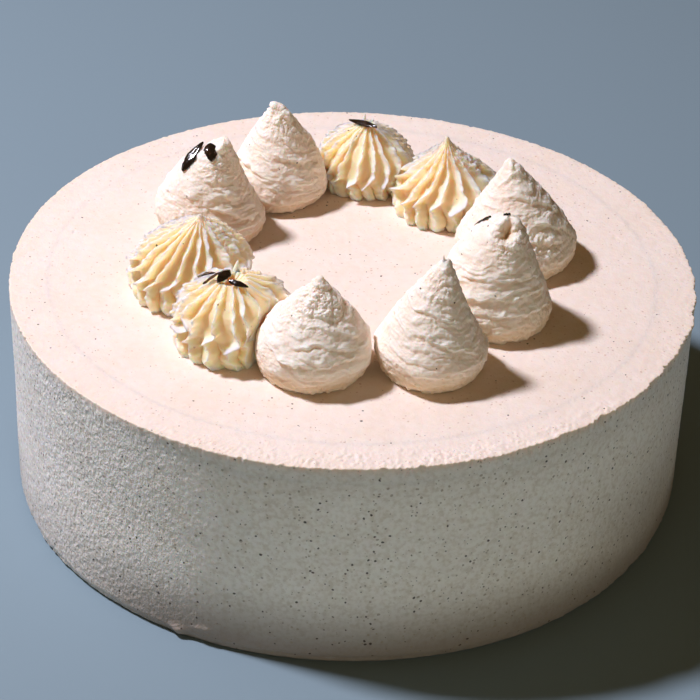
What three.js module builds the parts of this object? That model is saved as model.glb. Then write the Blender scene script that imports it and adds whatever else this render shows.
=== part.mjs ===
// Round chiffon cake covered with speckled cream, with a ring of ten piped dollops on top:
// six plain cones and four ribbed stars, some carrying thin dark shards.
// Millimetres, +Z up, X to the right and Y away from the viewer; origin at the middle of the foot.
import * as THREE from "three";

// ---------------------------------------------------------------- driving dimensions
const CAKE_RADIUS = 100;
const CAKE_HEIGHT = 65.7;
const CAKE_SEGMENTS = 96;
const FOOT_INSET = 1.3; // how far the resting face stays inside the side wall
const FOOT_ROWS = [[0.5, -0.5], [1.6, -0.15]]; // rounded foot: heights, and how far out each lies
const WALL_ROWS = [[9, 0], [22, 0.1], [42, 0]]; // wall: heights, and how far it swells there
const WALL_WAVES = [[3, 0.22, 0.6], [7, 0.14, 2.1]]; // waves round the wall: count, depth, phase
const RIM_START = 5; // the wall turns outwards this far below the top
const RIM_ROUND = 0.9; // rounding of the upper edge
const RIM_LIP = 0.35; // the smoothed cream stands out this far at the upper edge
const RIM_LIP_START = 0.6; // share of the lip reached below the rounding
const RIM_LIP_HEIGHT = 0.7; // the lip is widest this share of the rounding below the top
const FOOT_BULGE = 1.2; // the wall swells at its lower left
const FOOT_BULGE_ANGLE = -2.42;
const FOOT_BULGE_SPREAD = 0.45; // radians to either side
const FOOT_BULGE_HEIGHT = 34; // the swelling has gone at this height
const CLEARANCE = 0.3; // air kept between bodies that touch
const DOLLOP_BASE = CAKE_HEIGHT + CLEARANCE;
const LAST_SHARE = 0.9995; // the top ring is drawn just below the tip, so that it keeps a size
const SMALLEST_RADIUS = 0.25; // no ring of a dollop is smaller
const CAP_REACH = 3; // a rounded tip blends into the outline over this many of its radii
const CONE_SEGMENTS = 22;
const CONE_SHARES = [0, 0.08, 0.17, 0.27, 0.38, 0.49, 0.6, 0.71, 0.81, 0.9, 0.96, 1];
const FOLD_LEDGE = 0.75; // the layer above a fold overhangs this far
const FOLD_GROOVE = 0.65; // the layer below a fold lies this far in
const FOLD_SPREAD = 0.022; // share of the height between the ledge and its groove
const FOLD_ROOM = 1.6; // plain rows give way within this many spreads of a fold
const FOLD_STRENGTH = { even: 0.65, uneven: 0.35, round: 2, rise: 7 }; // waves round and up a fold
const LUMP = 0.018; // slow unevenness of a cone, as a share of its radius
const LUMP_WAVES = [
  { share: 1, round: 2, rise: 0, own: 1 },
  { share: 0.7, round: 3, rise: 5, own: 0 },
]; // waves round and up a cone; own is 1 where the wave starts at another place on each cone
const FIN_SEGMENTS = 4; // facets across one rib of a star
const FIN_VALLEY_POWER = 0.7; // below 1 the grooves are round and the ribs between them sharp
const STAR_SHARES = [0, 0.07, 0.16, 0.25, 0.34, 0.43, 0.54, 0.66, 0.78, 0.89, 0.97, 1];
const JOG_SPREAD = 0.1; // share of the height over which the ribs jog sideways
const SKIRT = { size: 0.035, above: 0.3, spread: 0.8 }; // the upper tier stands out, as shares of
const WAIST = { size: 0.05, above: -1.2, spread: 0.7 }; // the radius and the jog; the lower goes in
const FIN_LARGEST_CUT = 0.34; // no groove is deeper than this share of the radius
const TIP_OPENING = 0.6; // radius that the outline of a pointed top aims at
const TIP_RISE = 0.15; // the last point of a tip stands this far above its last ring

// Every dollop: name, middle (x, y), height, lean of the tip and sway of the middle, largest radius,
// foot ratio, height of the widest ring, the two powers of its upper outline, radius of its top,
// on a cone the shares of the height where folds run round, with how far the layers rise towards
// an angle, and on a star its ribs with their depth, twist, jog and uneven spacing.
const CONES = [
  { name: "cone_1", x: -42.3, y: 21.3, height: 30.2, leanX: 3.5, swayX: -2.4, swayY: 0.0,
    radius: 15.9, foot: 0.82, belly: 6.7, m: 1.17, n: 0.84, tip: 1.7,
    folds: [0.28, 0.5], foldTilt: -1.1, foldAngle: 0.0 },
  { name: "cone_2", x: -24.8, y: 44.0, height: 30.6, leanX: 1.0, swayX: 1.6, swayY: 0.0,
    radius: 15.5, foot: 0.77, belly: 4.8, m: 1.32, n: 0.91, tip: 2.2,
    folds: [0.29, 0.55], foldTilt: -1.4, foldAngle: 0.2 },
  { name: "cone_3", x: 48.2, y: 10.2, height: 32.0, leanX: -3.4, swayX: -0.3, swayY: 0.0,
    radius: 18.0, foot: 0.82, belly: 5.3, m: 1.19, n: 1.01, tip: 1.2,
    folds: [0.32, 0.52], foldTilt: 0.9, foldAngle: 0.0 },
  { name: "cone_4", x: 41.2, y: -24.2, height: 32.5, leanX: 1.2, swayX: -2.6, swayY: 0.4,
    radius: 16.3, foot: 0.81, belly: 5.8, m: 1.15, n: 0.58, tip: 1.8,
    folds: [0.24, 0.46], foldTilt: 0.6, foldAngle: 0.1 },
  { name: "cone_5", x: 22.0, y: -51.5, height: 34.3, leanX: 3.1, swayX: -0.2, swayY: -0.3,
    radius: 15.3, foot: 0.77, belly: 8.0, m: 1.0, n: 0.92, tip: 1.2,
    folds: [0.33, 0.56], foldTilt: -0.9, foldAngle: 0.0 },
  { name: "cone_6", x: -10.6, y: -53.1, height: 28.8, leanX: 2.0, swayX: 1.0, swayY: -0.3,
    radius: 15.7, foot: 0.82, belly: 7.3, m: 1.63, n: 1.29, tip: 1.1,
    folds: [0.25, 0.45], foldTilt: -0.8, foldAngle: 0.3 },
];
const STARS = [
  { name: "star_1", x: 3.5, y: 53.5, height: 20.0, leanX: -0.1, swayX: -0.7, swayY: 0.0, radius: 15.5,
    foot: 0.86, belly: 5.3, m: 2.48, n: 1.13, tip: 2.6, fins: 18, depth: 3.4, turn: 0.12,
    kink: 0.30, kinkShift: -0.34, crater: 1.2, uneven: 0.04, unevenAngle: 0.5 },
  { name: "star_2", x: 27.5, y: 37.0, height: 24.6, leanX: -0.2, swayX: 0.9, swayY: 0.0, radius: 16.9,
    foot: 0.88, belly: 7.0, m: 1.74, n: 1.81, tip: 0.7, fins: 16, depth: 4.0, turn: 0.05,
    kink: 0.34, kinkShift: -0.42, crater: 0, uneven: 0.05, unevenAngle: -0.8 },
  { name: "star_3", x: -33.0, y: -41.5, height: 20.2, leanX: 0.2, swayX: 0.5, swayY: 0.2, radius: 16.9,
    foot: 0.90, belly: 7.0, m: 3.19, n: 1.13, tip: 5.5, fins: 18, depth: 3.8, turn: -0.1,
    kink: 0.42, kinkShift: -0.40, crater: 1.6, uneven: 0.06, unevenAngle: 0.4 },
  { name: "star_4", x: -46.8, y: -14.2, height: 24.2, leanX: 3.4, swayX: 0.0, swayY: 0.2, radius: 17.8,
    foot: 0.90, belly: 5.2, m: 2.62, n: 1.34, tip: 0.7, fins: 18, depth: 3.8, turn: 0.2,
    kink: 0.36, kinkShift: -0.44, crater: 0, uneven: 0.16, unevenAngle: 0.6 },
];

// Where neighbouring dollops meet: the share of the distance that belongs to the first of the two.
const CONTACTS = [
  ["cone_1", "cone_2", 0.505], ["cone_2", "star_1", 0.503], ["star_1", "star_2", 0.478],
  ["star_2", "cone_3", 0.485], ["cone_3", "cone_4", 0.52], ["cone_4", "cone_5", 0.52],
  ["cone_5", "cone_6", 0.495], ["cone_6", "star_3", 0.556], ["star_3", "star_4", 0.485],
  ["star_4", "cone_1", 0.525],
];
const PRESS_SOFTNESS = 0.9; // a pressed side flattens over this depth

// Thin dark shards, which rest on the dollops: the two ends of the length, the way the broad face
// looks, width and bow.
const SHARDS = [
  { name: "shard_1", from: [-50.9, 16.3, 87.4], to: [-45.1, 22.7, 93.9],
    face: [-0.5, -0.6, 0.5], width: 3.7, bow: 0.6 },
  { name: "shard_2", from: [-42.9, 19.6, 95.2], to: [-42.1, 15.0, 91.6],
    face: [0.1, -0.75, 0.6], width: 4.1, bow: 0.4 },
  { name: "shard_3", from: [6.2, 48.8, 86.9], to: [-2.4, 56.1, 85.4],
    face: [0, -0.3, 0.95], width: 2.7, bow: 0.3 },
  { name: "shard_4", from: [33.9, -18.2, 91.6], to: [38.0, -22.6, 97.4],
    face: [-0.5, 0.25, 0.85], width: 1.6, bow: 0.2 },
  { name: "shard_5", from: [41.3, -24.4, 99.0], to: [43.3, -24.3, 99.1],
    face: [0, 0.3, 0.95], width: 1.0, bow: 0.1 },
  { name: "shard_6", from: [-42.7, -33.8, 81.6], to: [-37.4, -38.7, 86.0],
    face: [-0.1, -0.4, 0.9], width: 1.9, bow: 0.3 },
  { name: "shard_7", from: [-33.7, -38.0, 86.7], to: [-36.6, -44.7, 86.8],
    face: [0.1, -0.5, 0.85], width: 3.2, bow: 0.3 },
  { name: "shard_8", from: [-33.6, -44.3, 87.1], to: [-28.1, -46.2, 86.5],
    face: [0.1, -0.5, 0.9], width: 2.0, bow: 0.2 },
  { name: "shard_9", from: [-40.6, -42.2, 84.5], to: [-35.7, -42.7, 88.9],
    face: [-0.6, -0.2, 0.8], width: 1.0, bow: 0.3 },
];
const SHARD_THICKNESS = 0.6;
const SHARD_EDGE_THINNING = 0.45; // share of the thickness lost at the edges
const SHARD_END_WIDTH = 0.14; // share of the width left at the ends
const SHARD_FULLNESS = 0.8; // below 1 the outline is full, and widest before the middle
const SHARD_CURL = 0.16; // a shard is hollow across by this share of its half width
const SHARD_STEPS_LONG = 7;
const SHARD_STEPS_WIDE = 2;

// ---------------------------------------------------------------- finishes
const creamFinish = new THREE.MeshStandardMaterial({
  name: "cream_coat",
  color: 0xe9d8ca,
  roughness: 0.62,
  metalness: 0,
});
const coneFinish = new THREE.MeshStandardMaterial({
  name: "cone_cream",
  color: 0xefe3d6,
  roughness: 0.55,
  metalness: 0,
});
const starFinish = new THREE.MeshStandardMaterial({
  name: "star_cream",
  color: 0xf0dcb4,
  roughness: 0.42,
  metalness: 0,
});
const shardFinish = new THREE.MeshStandardMaterial({
  name: "dark_shard",
  color: 0x1d1210,
  roughness: 0.18,
  metalness: 0,
});

// ---------------------------------------------------------------- helpers
const clamp01 = (value) => Math.min(1, Math.max(0, value));
const bell = (offset, width) => Math.exp(-(offset * offset) / (width * width));

/** One closed body from rings of points, the first ring lowest, closed by a fan at either end. */
function lathed(rings, bottomCentre, topCentre) {
  const count = rings[0].length;
  const points = [...rings.flat(), bottomCentre, topCentre];
  const bottom = points.length - 2;
  const top = points.length - 1;
  const faces = [];
  for (let row = 0; row + 1 < rings.length; row += 1) {
    for (let i = 0; i < count; i += 1) {
      const j = (i + 1) % count;
      const a = row * count + i;
      const b = row * count + j;
      const c = (row + 1) * count + j;
      const d = (row + 1) * count + i;
      faces.push([a, b, c], [a, c, d]);
    }
  }
  for (let i = 0; i < count; i += 1) {
    const j = (i + 1) % count;
    faces.push([bottom, j, i]);
    faces.push([top, (rings.length - 1) * count + i, (rings.length - 1) * count + j]);
  }
  return geometryFrom(points, faces);
}

/** A body's surface from its points and triangles. */
function geometryFrom(points, faces) {
  const geometry = new THREE.BufferGeometry();
  geometry.setAttribute("position", new THREE.Float32BufferAttribute(points.flat(), 3));
  geometry.setIndex(faces.flat());
  geometry.computeVertexNormals();
  return geometry;
}

/** Outline radius of a dollop at a height above its foot. */
function outlineRadius(spec, height) {
  if (height < spec.belly) {
    const rise = clamp01(height / spec.belly);
    return spec.radius * (spec.foot + (1 - spec.foot) * Math.sqrt(1 - (1 - rise) * (1 - rise)));
  }
  const s = clamp01((height - spec.belly) / (spec.height - spec.belly));
  const open = spec.crater > 0 ? spec.tip : TIP_OPENING;
  const upper = open + (spec.radius - open) * Math.pow(1 - Math.pow(s, spec.m), spec.n);
  if (spec.crater > 0) {
    return upper;
  }
  const below = spec.height - height;
  const cap = below < spec.tip ? Math.sqrt(Math.max(0, 2 * spec.tip * below - below * below)) : spec.tip;
  return Math.max(upper, cap * bell(below, CAP_REACH * spec.tip), SMALLEST_RADIUS);
}

/** Middle of a dollop at a share of its height. */
function spine(spec, share) {
  const belly = Math.sin(Math.PI * share);
  return [
    spec.x + spec.leanX * share * share + spec.swayX * belly,
    spec.y + spec.swayY * belly,
  ];
}

/** The flat sides where this dollop meets its neighbours, as directions and distances. */
function pressedSides(spec) {
  const all = [...CONES, ...STARS];
  const sides = [];
  for (const [first, second, share] of CONTACTS) {
    if (first !== spec.name && second !== spec.name) {
      continue;
    }
    const other = all.find((item) => item.name === (first === spec.name ? second : first));
    const dx = other.x - spec.x;
    const dy = other.y - spec.y;
    const distance = Math.hypot(dx, dy);
    const part = first === spec.name ? share : 1 - share;
    sides.push({ nx: dx / distance, ny: dy / distance, limit: distance * part - CLEARANCE / 2 });
  }
  return sides;
}

/** Moves a point back behind the flat sides, softly, so that neighbours never meet. */
function pressed(spec, sides, x, y) {
  let px = x;
  let py = y;
  for (const side of sides) {
    const reach = (px - spec.x) * side.nx + (py - spec.y) * side.ny;
    const start = side.limit - PRESS_SOFTNESS;
    if (reach > start) {
      const kept = side.limit - PRESS_SOFTNESS * Math.exp(-(reach - start) / PRESS_SOFTNESS);
      px += (kept - reach) * side.nx;
      py += (kept - reach) * side.ny;
    }
  }
  return [px, py];
}

// ---------------------------------------------------------------- bodies
/** Side wall radius of the cake at an angle and height. */
function cakeRadius(angle, height) {
  const waves = WALL_WAVES.map(([count, depth, phase]) => depth * Math.sin(count * angle + phase));
  const waviness = waves.reduce((sum, wave) => sum + wave, 0);
  const turn = Math.atan2(Math.sin(angle - FOOT_BULGE_ANGLE), Math.cos(angle - FOOT_BULGE_ANGLE));
  const swell = FOOT_BULGE * bell(turn, FOOT_BULGE_SPREAD) * clamp01(1 - height / FOOT_BULGE_HEIGHT);
  return CAKE_RADIUS + waviness + swell;
}

/** The covered cake: a round wall on a rounded foot, with a thin lip at its upper edge. */
function cakeBody() {
  const rows = [
    [0, -FOOT_INSET],
    ...FOOT_ROWS,
    ...WALL_ROWS,
    [CAKE_HEIGHT - RIM_START, 0],
    [CAKE_HEIGHT - 2 * RIM_ROUND, RIM_LIP * RIM_LIP_START],
    [CAKE_HEIGHT - RIM_ROUND * RIM_LIP_HEIGHT, RIM_LIP],
    [CAKE_HEIGHT, RIM_LIP - RIM_ROUND],
  ];
  const rings = rows.map(([z, offset]) => {
    const ring = [];
    for (let i = 0; i < CAKE_SEGMENTS; i += 1) {
      const angle = (2 * Math.PI * i) / CAKE_SEGMENTS;
      const radius = cakeRadius(angle, z) + offset;
      ring.push([radius * Math.cos(angle), radius * Math.sin(angle), z]);
    }
    return ring;
  });
  return lathed(rings, [0, 0, 0], [0, 0, CAKE_HEIGHT]);
}

/** Rows of a cone as [share of the height, radial offset], with two rows for each fold. */
function coneRows(spec) {
  const near = FOLD_ROOM * FOLD_SPREAD;
  const plain = CONE_SHARES.filter((share) => spec.folds.every((fold) => Math.abs(share - fold) > near));
  const rows = plain.map((share) => [share, 0]);
  for (const fold of spec.folds) {
    rows.push([fold - FOLD_SPREAD, -FOLD_GROOVE], [fold + FOLD_SPREAD, FOLD_LEDGE]);
  }
  return rows.sort((a, b) => a[0] - b[0]);
}

/** How strongly the folds stand out at an angle and share of the height. */
function foldStrength(spec, angle, share) {
  const phase = FOLD_STRENGTH.round * angle + FOLD_STRENGTH.rise * share + spec.x;
  return FOLD_STRENGTH.even + FOLD_STRENGTH.uneven * Math.sin(phase);
}

/** Slow unevenness of a cone as a factor on its radius. */
function lumpFactor(spec, angle, share) {
  const waves = LUMP_WAVES.map((wave) => (
    wave.share * Math.sin(wave.round * angle + wave.rise * share + wave.own * spec.x)
  ));
  return 1 + LUMP * waves.reduce((sum, wave) => sum + wave, 0);
}

/** A plain piped cone: stacked, slightly tilted layers of cream with overhanging folds. */
function coneBody(spec) {
  const sides = pressedSides(spec);
  const rings = coneRows(spec).map(([share, offset]) => {
    const nominal = outlineRadius(spec, share * spec.height * LAST_SHARE);
    const [mx, my] = spine(spec, share);
    const ring = [];
    for (let i = 0; i < CONE_SEGMENTS; i += 1) {
      const angle = (2 * Math.PI * i) / CONE_SEGMENTS;
      const tilt = spec.foldTilt * Math.cos(angle - spec.foldAngle) * Math.sin(Math.PI * share);
      const fold = offset * foldStrength(spec, angle, share);
      const radius = nominal * lumpFactor(spec, angle, share) + fold;
      const [x, y] = pressed(spec, sides, mx + radius * Math.cos(angle), my + radius * Math.sin(angle));
      ring.push([x, y, DOLLOP_BASE + share * spec.height + tilt]);
    }
    return ring;
  });
  const [bx, by] = spine(spec, 0);
  const [tx, ty] = spine(spec, 1);
  return lathed(rings, [bx, by, DOLLOP_BASE], [tx, ty, DOLLOP_BASE + spec.height + TIP_RISE]);
}

/** Share of the radius that a tier of a star stands out or goes in at a share of the height. */
function tierSwell(spec, tier, share) {
  const centre = spec.kink + tier.above * JOG_SPREAD;
  return tier.size * bell(share - centre, tier.spread * JOG_SPREAD);
}

/** A star: sharp ribs that run up to the top and jog sideways above a lower tier. */
function starBody(spec) {
  const sides = pressedSides(spec);
  const count = spec.fins * FIN_SEGMENTS;
  const pitch = (2 * Math.PI) / spec.fins;
  const rings = STAR_SHARES.map((share) => {
    const [mx, my] = spine(spec, share);
    const nominal = outlineRadius(spec, share * spec.height * LAST_SHARE);
    const jog = spec.kinkShift * pitch * bell(share - spec.kink, JOG_SPREAD);
    const swell = tierSwell(spec, SKIRT, share) - tierSwell(spec, WAIST, share);
    const ring = [];
    for (let i = 0; i < count; i += 1) {
      const across = (i % FIN_SEGMENTS) / FIN_SEGMENTS;
      const valley = Math.pow(0.5 - 0.5 * Math.cos(2 * Math.PI * across), FIN_VALLEY_POWER);
      const even = (2 * Math.PI * i) / count;
      const angle = even + spec.uneven * Math.sin(even - spec.unevenAngle) + jog + spec.turn * share;
      const cut = Math.min(spec.depth, nominal * FIN_LARGEST_CUT) * valley;
      const radius = nominal * (1 + swell) - cut;
      const [x, y] = pressed(spec, sides, mx + radius * Math.cos(angle), my + radius * Math.sin(angle));
      ring.push([x, y, DOLLOP_BASE + share * spec.height]);
    }
    return ring;
  });
  const [bx, by] = spine(spec, 0);
  const [tx, ty] = spine(spec, 1);
  const topHeight = spec.crater > 0 ? spec.height - spec.crater : spec.height + TIP_RISE;
  return lathed(rings, [bx, by, DOLLOP_BASE], [tx, ty, DOLLOP_BASE + topHeight]);
}

/** A thin pointed shard, bowed along its length, with both faces split alike. */
function shardBody(spec) {
  const start = new THREE.Vector3(...spec.from);
  const end = new THREE.Vector3(...spec.to);
  const middle = start.clone().add(end).multiplyScalar(0.5);
  const length = start.distanceTo(end);
  const along = end.clone().sub(start).normalize();
  const side = new THREE.Vector3(...spec.face).cross(along).normalize();
  const out = along.clone().cross(side).normalize();
  const points = [];
  const faces = [];
  const stride = SHARD_STEPS_WIDE + 1;
  const layer = (SHARD_STEPS_LONG + 1) * stride;
  for (const face of [1, -1]) {
    for (let i = 0; i <= SHARD_STEPS_LONG; i += 1) {
      const u = i / SHARD_STEPS_LONG;
      const swell = Math.sin(Math.PI * Math.pow(u, SHARD_FULLNESS));
      const broad = SHARD_END_WIDTH + (1 - SHARD_END_WIDTH) * Math.pow(swell, SHARD_FULLNESS);
      const half = 0.5 * spec.width * broad;
      for (let j = 0; j <= SHARD_STEPS_WIDE; j += 1) {
        const v = (2 * j) / SHARD_STEPS_WIDE - 1;
        const curl = spec.bow * Math.sin(Math.PI * u) + SHARD_CURL * half * (1 - v * v);
        const thin = 0.5 * SHARD_THICKNESS * (1 - SHARD_EDGE_THINNING * v * v);
        const point = middle.clone()
          .addScaledVector(along, (u - 0.5) * length)
          .addScaledVector(side, v * half)
          .addScaledVector(out, curl + face * thin);
        points.push(point.toArray());
      }
    }
  }
  for (let i = 0; i < SHARD_STEPS_LONG; i += 1) {
    for (let j = 0; j < SHARD_STEPS_WIDE; j += 1) {
      const a = i * stride + j;
      const b = a + 1;
      const c = a + stride + 1;
      const d = a + stride;
      faces.push([a, d, c], [a, c, b]);
      faces.push([layer + a, layer + c, layer + d], [layer + a, layer + b, layer + c]);
    }
  }
  const edge = [];
  for (let j = 0; j < SHARD_STEPS_WIDE; j += 1) {
    edge.push(j);
  }
  for (let i = 0; i < SHARD_STEPS_LONG; i += 1) {
    edge.push(i * stride + SHARD_STEPS_WIDE);
  }
  for (let j = SHARD_STEPS_WIDE; j > 0; j -= 1) {
    edge.push(SHARD_STEPS_LONG * stride + j);
  }
  for (let i = SHARD_STEPS_LONG; i > 0; i -= 1) {
    edge.push(i * stride);
  }
  edge.forEach((a, k) => {
    const b = edge[(k + 1) % edge.length];
    faces.push([a, b, layer + b], [a, layer + b, layer + a]);
  });
  return geometryFrom(points, faces);
}

// ---------------------------------------------------------------- assembly
/** A body under its own name, with its own copy of the finish. */
function named(name, geometry, material) {
  const mesh = new THREE.Mesh(geometry, material.clone());
  mesh.name = name;
  return mesh;
}

const group = new THREE.Group();
group.name = "chiffon_cake";
group.add(named("cake", cakeBody(), creamFinish));
CONES.forEach((spec) => group.add(named(spec.name, coneBody(spec), coneFinish)));
STARS.forEach((spec) => group.add(named(spec.name, starBody(spec), starFinish)));
SHARDS.forEach((spec) => group.add(named(spec.name, shardBody(spec), shardFinish)));

export default group;
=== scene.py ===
"""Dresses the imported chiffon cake: its speckled coat, rough piped cones, ribbed stars and shards.

The surfaces are worked out in millimetres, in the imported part's own frame, and are turned into
metres when a mesh is made. Angles run from +X towards +Y, so the side that the camera sees is
around -90 degrees.
"""

import itertools
import logging
import math
from collections.abc import Sequence
from dataclasses import dataclass, field
from enum import Enum

import bpy
import numpy as np
from mathutils import Matrix, Vector


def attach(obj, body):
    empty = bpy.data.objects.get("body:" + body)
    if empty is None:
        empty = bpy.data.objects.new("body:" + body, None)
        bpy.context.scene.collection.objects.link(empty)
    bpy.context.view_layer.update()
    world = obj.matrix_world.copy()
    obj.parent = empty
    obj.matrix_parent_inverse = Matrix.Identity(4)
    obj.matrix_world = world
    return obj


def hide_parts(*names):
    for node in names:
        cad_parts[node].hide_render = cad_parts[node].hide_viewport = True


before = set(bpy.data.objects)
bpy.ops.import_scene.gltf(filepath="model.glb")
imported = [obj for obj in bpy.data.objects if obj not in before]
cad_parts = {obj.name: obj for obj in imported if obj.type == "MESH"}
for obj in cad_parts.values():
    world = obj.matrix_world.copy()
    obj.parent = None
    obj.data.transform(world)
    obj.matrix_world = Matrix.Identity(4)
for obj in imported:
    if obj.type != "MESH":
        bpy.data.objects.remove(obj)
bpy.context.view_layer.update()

LOG = logging.getLogger("chiffon_cake")
BODY = "root"
MM = 0.001
TAU = 2.0 * math.pi
AIM_HEIGHT = 0.05  # metres above the table; every lamp points here

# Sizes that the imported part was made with, in millimetres.
CAKE_RADIUS = 100.0
CAKE_HEIGHT = 65.7
DOLLOP_BASE = 66.0
TIP_OPENING = 0.6
SMALLEST_RADIUS = 0.25
CAP_REACH = 3.0
JOG_SPREAD = 0.1
FIN_LARGEST_CUT = 0.34
CONTACTS = (
    ("cone_1", "cone_2", 0.505),
    ("cone_2", "star_1", 0.503),
    ("star_1", "star_2", 0.478),
    ("star_2", "cone_3", 0.485),
    ("cone_3", "cone_4", 0.52),
    ("cone_4", "cone_5", 0.52),
    ("cone_5", "cone_6", 0.495),
    ("cone_6", "star_3", 0.556),
    ("star_3", "star_4", 0.485),
    ("star_4", "cone_1", 0.525),
)
CONTACT_LAP = 0.04  # neighbouring creams meet and sink into each other by this much
PRESS_SOFTNESS = 0.9

Array = np.ndarray


# ------------------------------------------------------------------------------ whole-array maths
def smooth(low: float | Array, high: float | Array, value: Array) -> Array:
    """Soft step from 0 at low to 1 at high: 3 s squared minus 2 s cubed, with s held to 0..1."""
    share = np.clip((value - low) / (high - low), 0.0, 1.0)
    return share * share * (3.0 - 2.0 * share)


def bell(offset: Array | float, width: float) -> Array:
    """Bell curve: e to the power of minus (offset / width) squared."""
    return np.exp(-np.square(offset / width))


def turned(angle: Array | float, centre: float) -> Array:
    """Angle from a centre, brought to minus pi .. pi."""
    return np.arctan2(np.sin(angle - centre), np.cos(angle - centre))


def stacked(*parts: Array | float) -> Array:
    """Points from their three coordinates, broadcast to one shape."""
    return np.stack(np.broadcast_arrays(*parts), axis=-1).astype(np.float32)


class Grain:
    """Seeded noise in three dimensions, worked out for whole arrays at once."""

    TABLE = 256

    def __init__(self, seed: int) -> None:
        """Draws the table of slopes and the order in which lattice points take them."""
        draw = np.random.default_rng(seed)
        self.order = np.tile(draw.permutation(self.TABLE), 3)
        slopes = draw.normal(size=(self.TABLE, 3))
        slopes /= np.linalg.norm(slopes, axis=1, keepdims=True)
        self.slopes = slopes.astype(np.float32)
        self.places = draw.uniform(0.08, 0.92, size=(self.TABLE, 3)).astype(np.float32)
        self.tones = draw.uniform(0.0, 1.0, size=self.TABLE).astype(np.float32)

    def _index(self, cell: Array) -> Array:
        """Table index of each lattice point."""
        held = cell & (self.TABLE - 1)
        first = self.order[held[..., 0]]
        second = self.order[first + held[..., 1]]
        return self.order[second + held[..., 2]]

    def at(self, points: Array) -> Array:
        """Gradient noise, about -1 to 1.

        Each lattice corner gives the dot product of its slope with the way to the point; the
        eight are blended by the quintic fade 6 s^5 - 15 s^4 + 10 s^3 of each coordinate.

        Args:
            points: Coordinates in lattice steps, shape (..., 3).

        Returns:
            One value for each point.
        """
        cell = np.floor(points).astype(np.int64)
        part = (points - cell).astype(np.float32)
        fade = part**3 * (part * (part * 6.0 - 15.0) + 10.0)
        total = np.zeros(points.shape[:-1], np.float32)
        for corner in itertools.product((0, 1), repeat=3):
            step = np.array(corner)
            slope = self.slopes[self._index(cell + step)]
            way = part - step.astype(np.float32)
            weight = np.prod(np.where(step == 1, fade, 1.0 - fade), axis=-1)
            total += weight * np.sum(slope * way, axis=-1)
        return total * 1.7

    def fractal(self, points: Array, octaves: int, gain: float = 0.5) -> Array:
        """Sum of noise at doubled frequencies, each octave gain times as strong."""
        total = np.zeros(points.shape[:-1], np.float32)
        strength, scale = 1.0, 1.0
        for octave in range(octaves):
            total += strength * self.at(points * scale + 17.3 * octave)
            strength *= gain
            scale *= 2.03
        return total

    def billow(self, points: Array, octaves: int, gain: float = 0.55) -> Array:
        """Rounded lumps between sharp creases: the sum of the noise's absolute values, 0 to 1."""
        total = np.zeros(points.shape[:-1], np.float32)
        strength, scale, most = 1.0, 1.0, 0.0
        for octave in range(octaves):
            total += strength * np.abs(self.at(points * scale + 9.1 * octave))
            most += strength
            strength *= gain
            scale *= 2.11
        return np.clip(total * 1.6 / most, 0.0, 1.2)

    def cells(self, points: Array) -> tuple[Array, Array]:
        """Distance to the nearest of the scattered points, one to a lattice cell, and its tone.

        Args:
            points: Coordinates in cells, shape (..., 3).

        Returns:
            The distance in cells, and a fixed random number of the nearest point.
        """
        cell = np.floor(points).astype(np.int64)
        nearest = np.full(points.shape[:-1], 9.0, np.float32)
        tone = np.zeros(points.shape[:-1], np.float32)
        for corner in itertools.product((-1, 0, 1), repeat=3):
            other = cell + np.array(corner)
            index = self._index(other)
            way = other + self.places[index] - points
            away = np.sqrt(np.sum(way * way, axis=-1))
            closer = away < nearest
            nearest = np.where(closer, away, nearest)
            tone = np.where(closer, self.tones[index], tone)
        return nearest, tone


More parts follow.
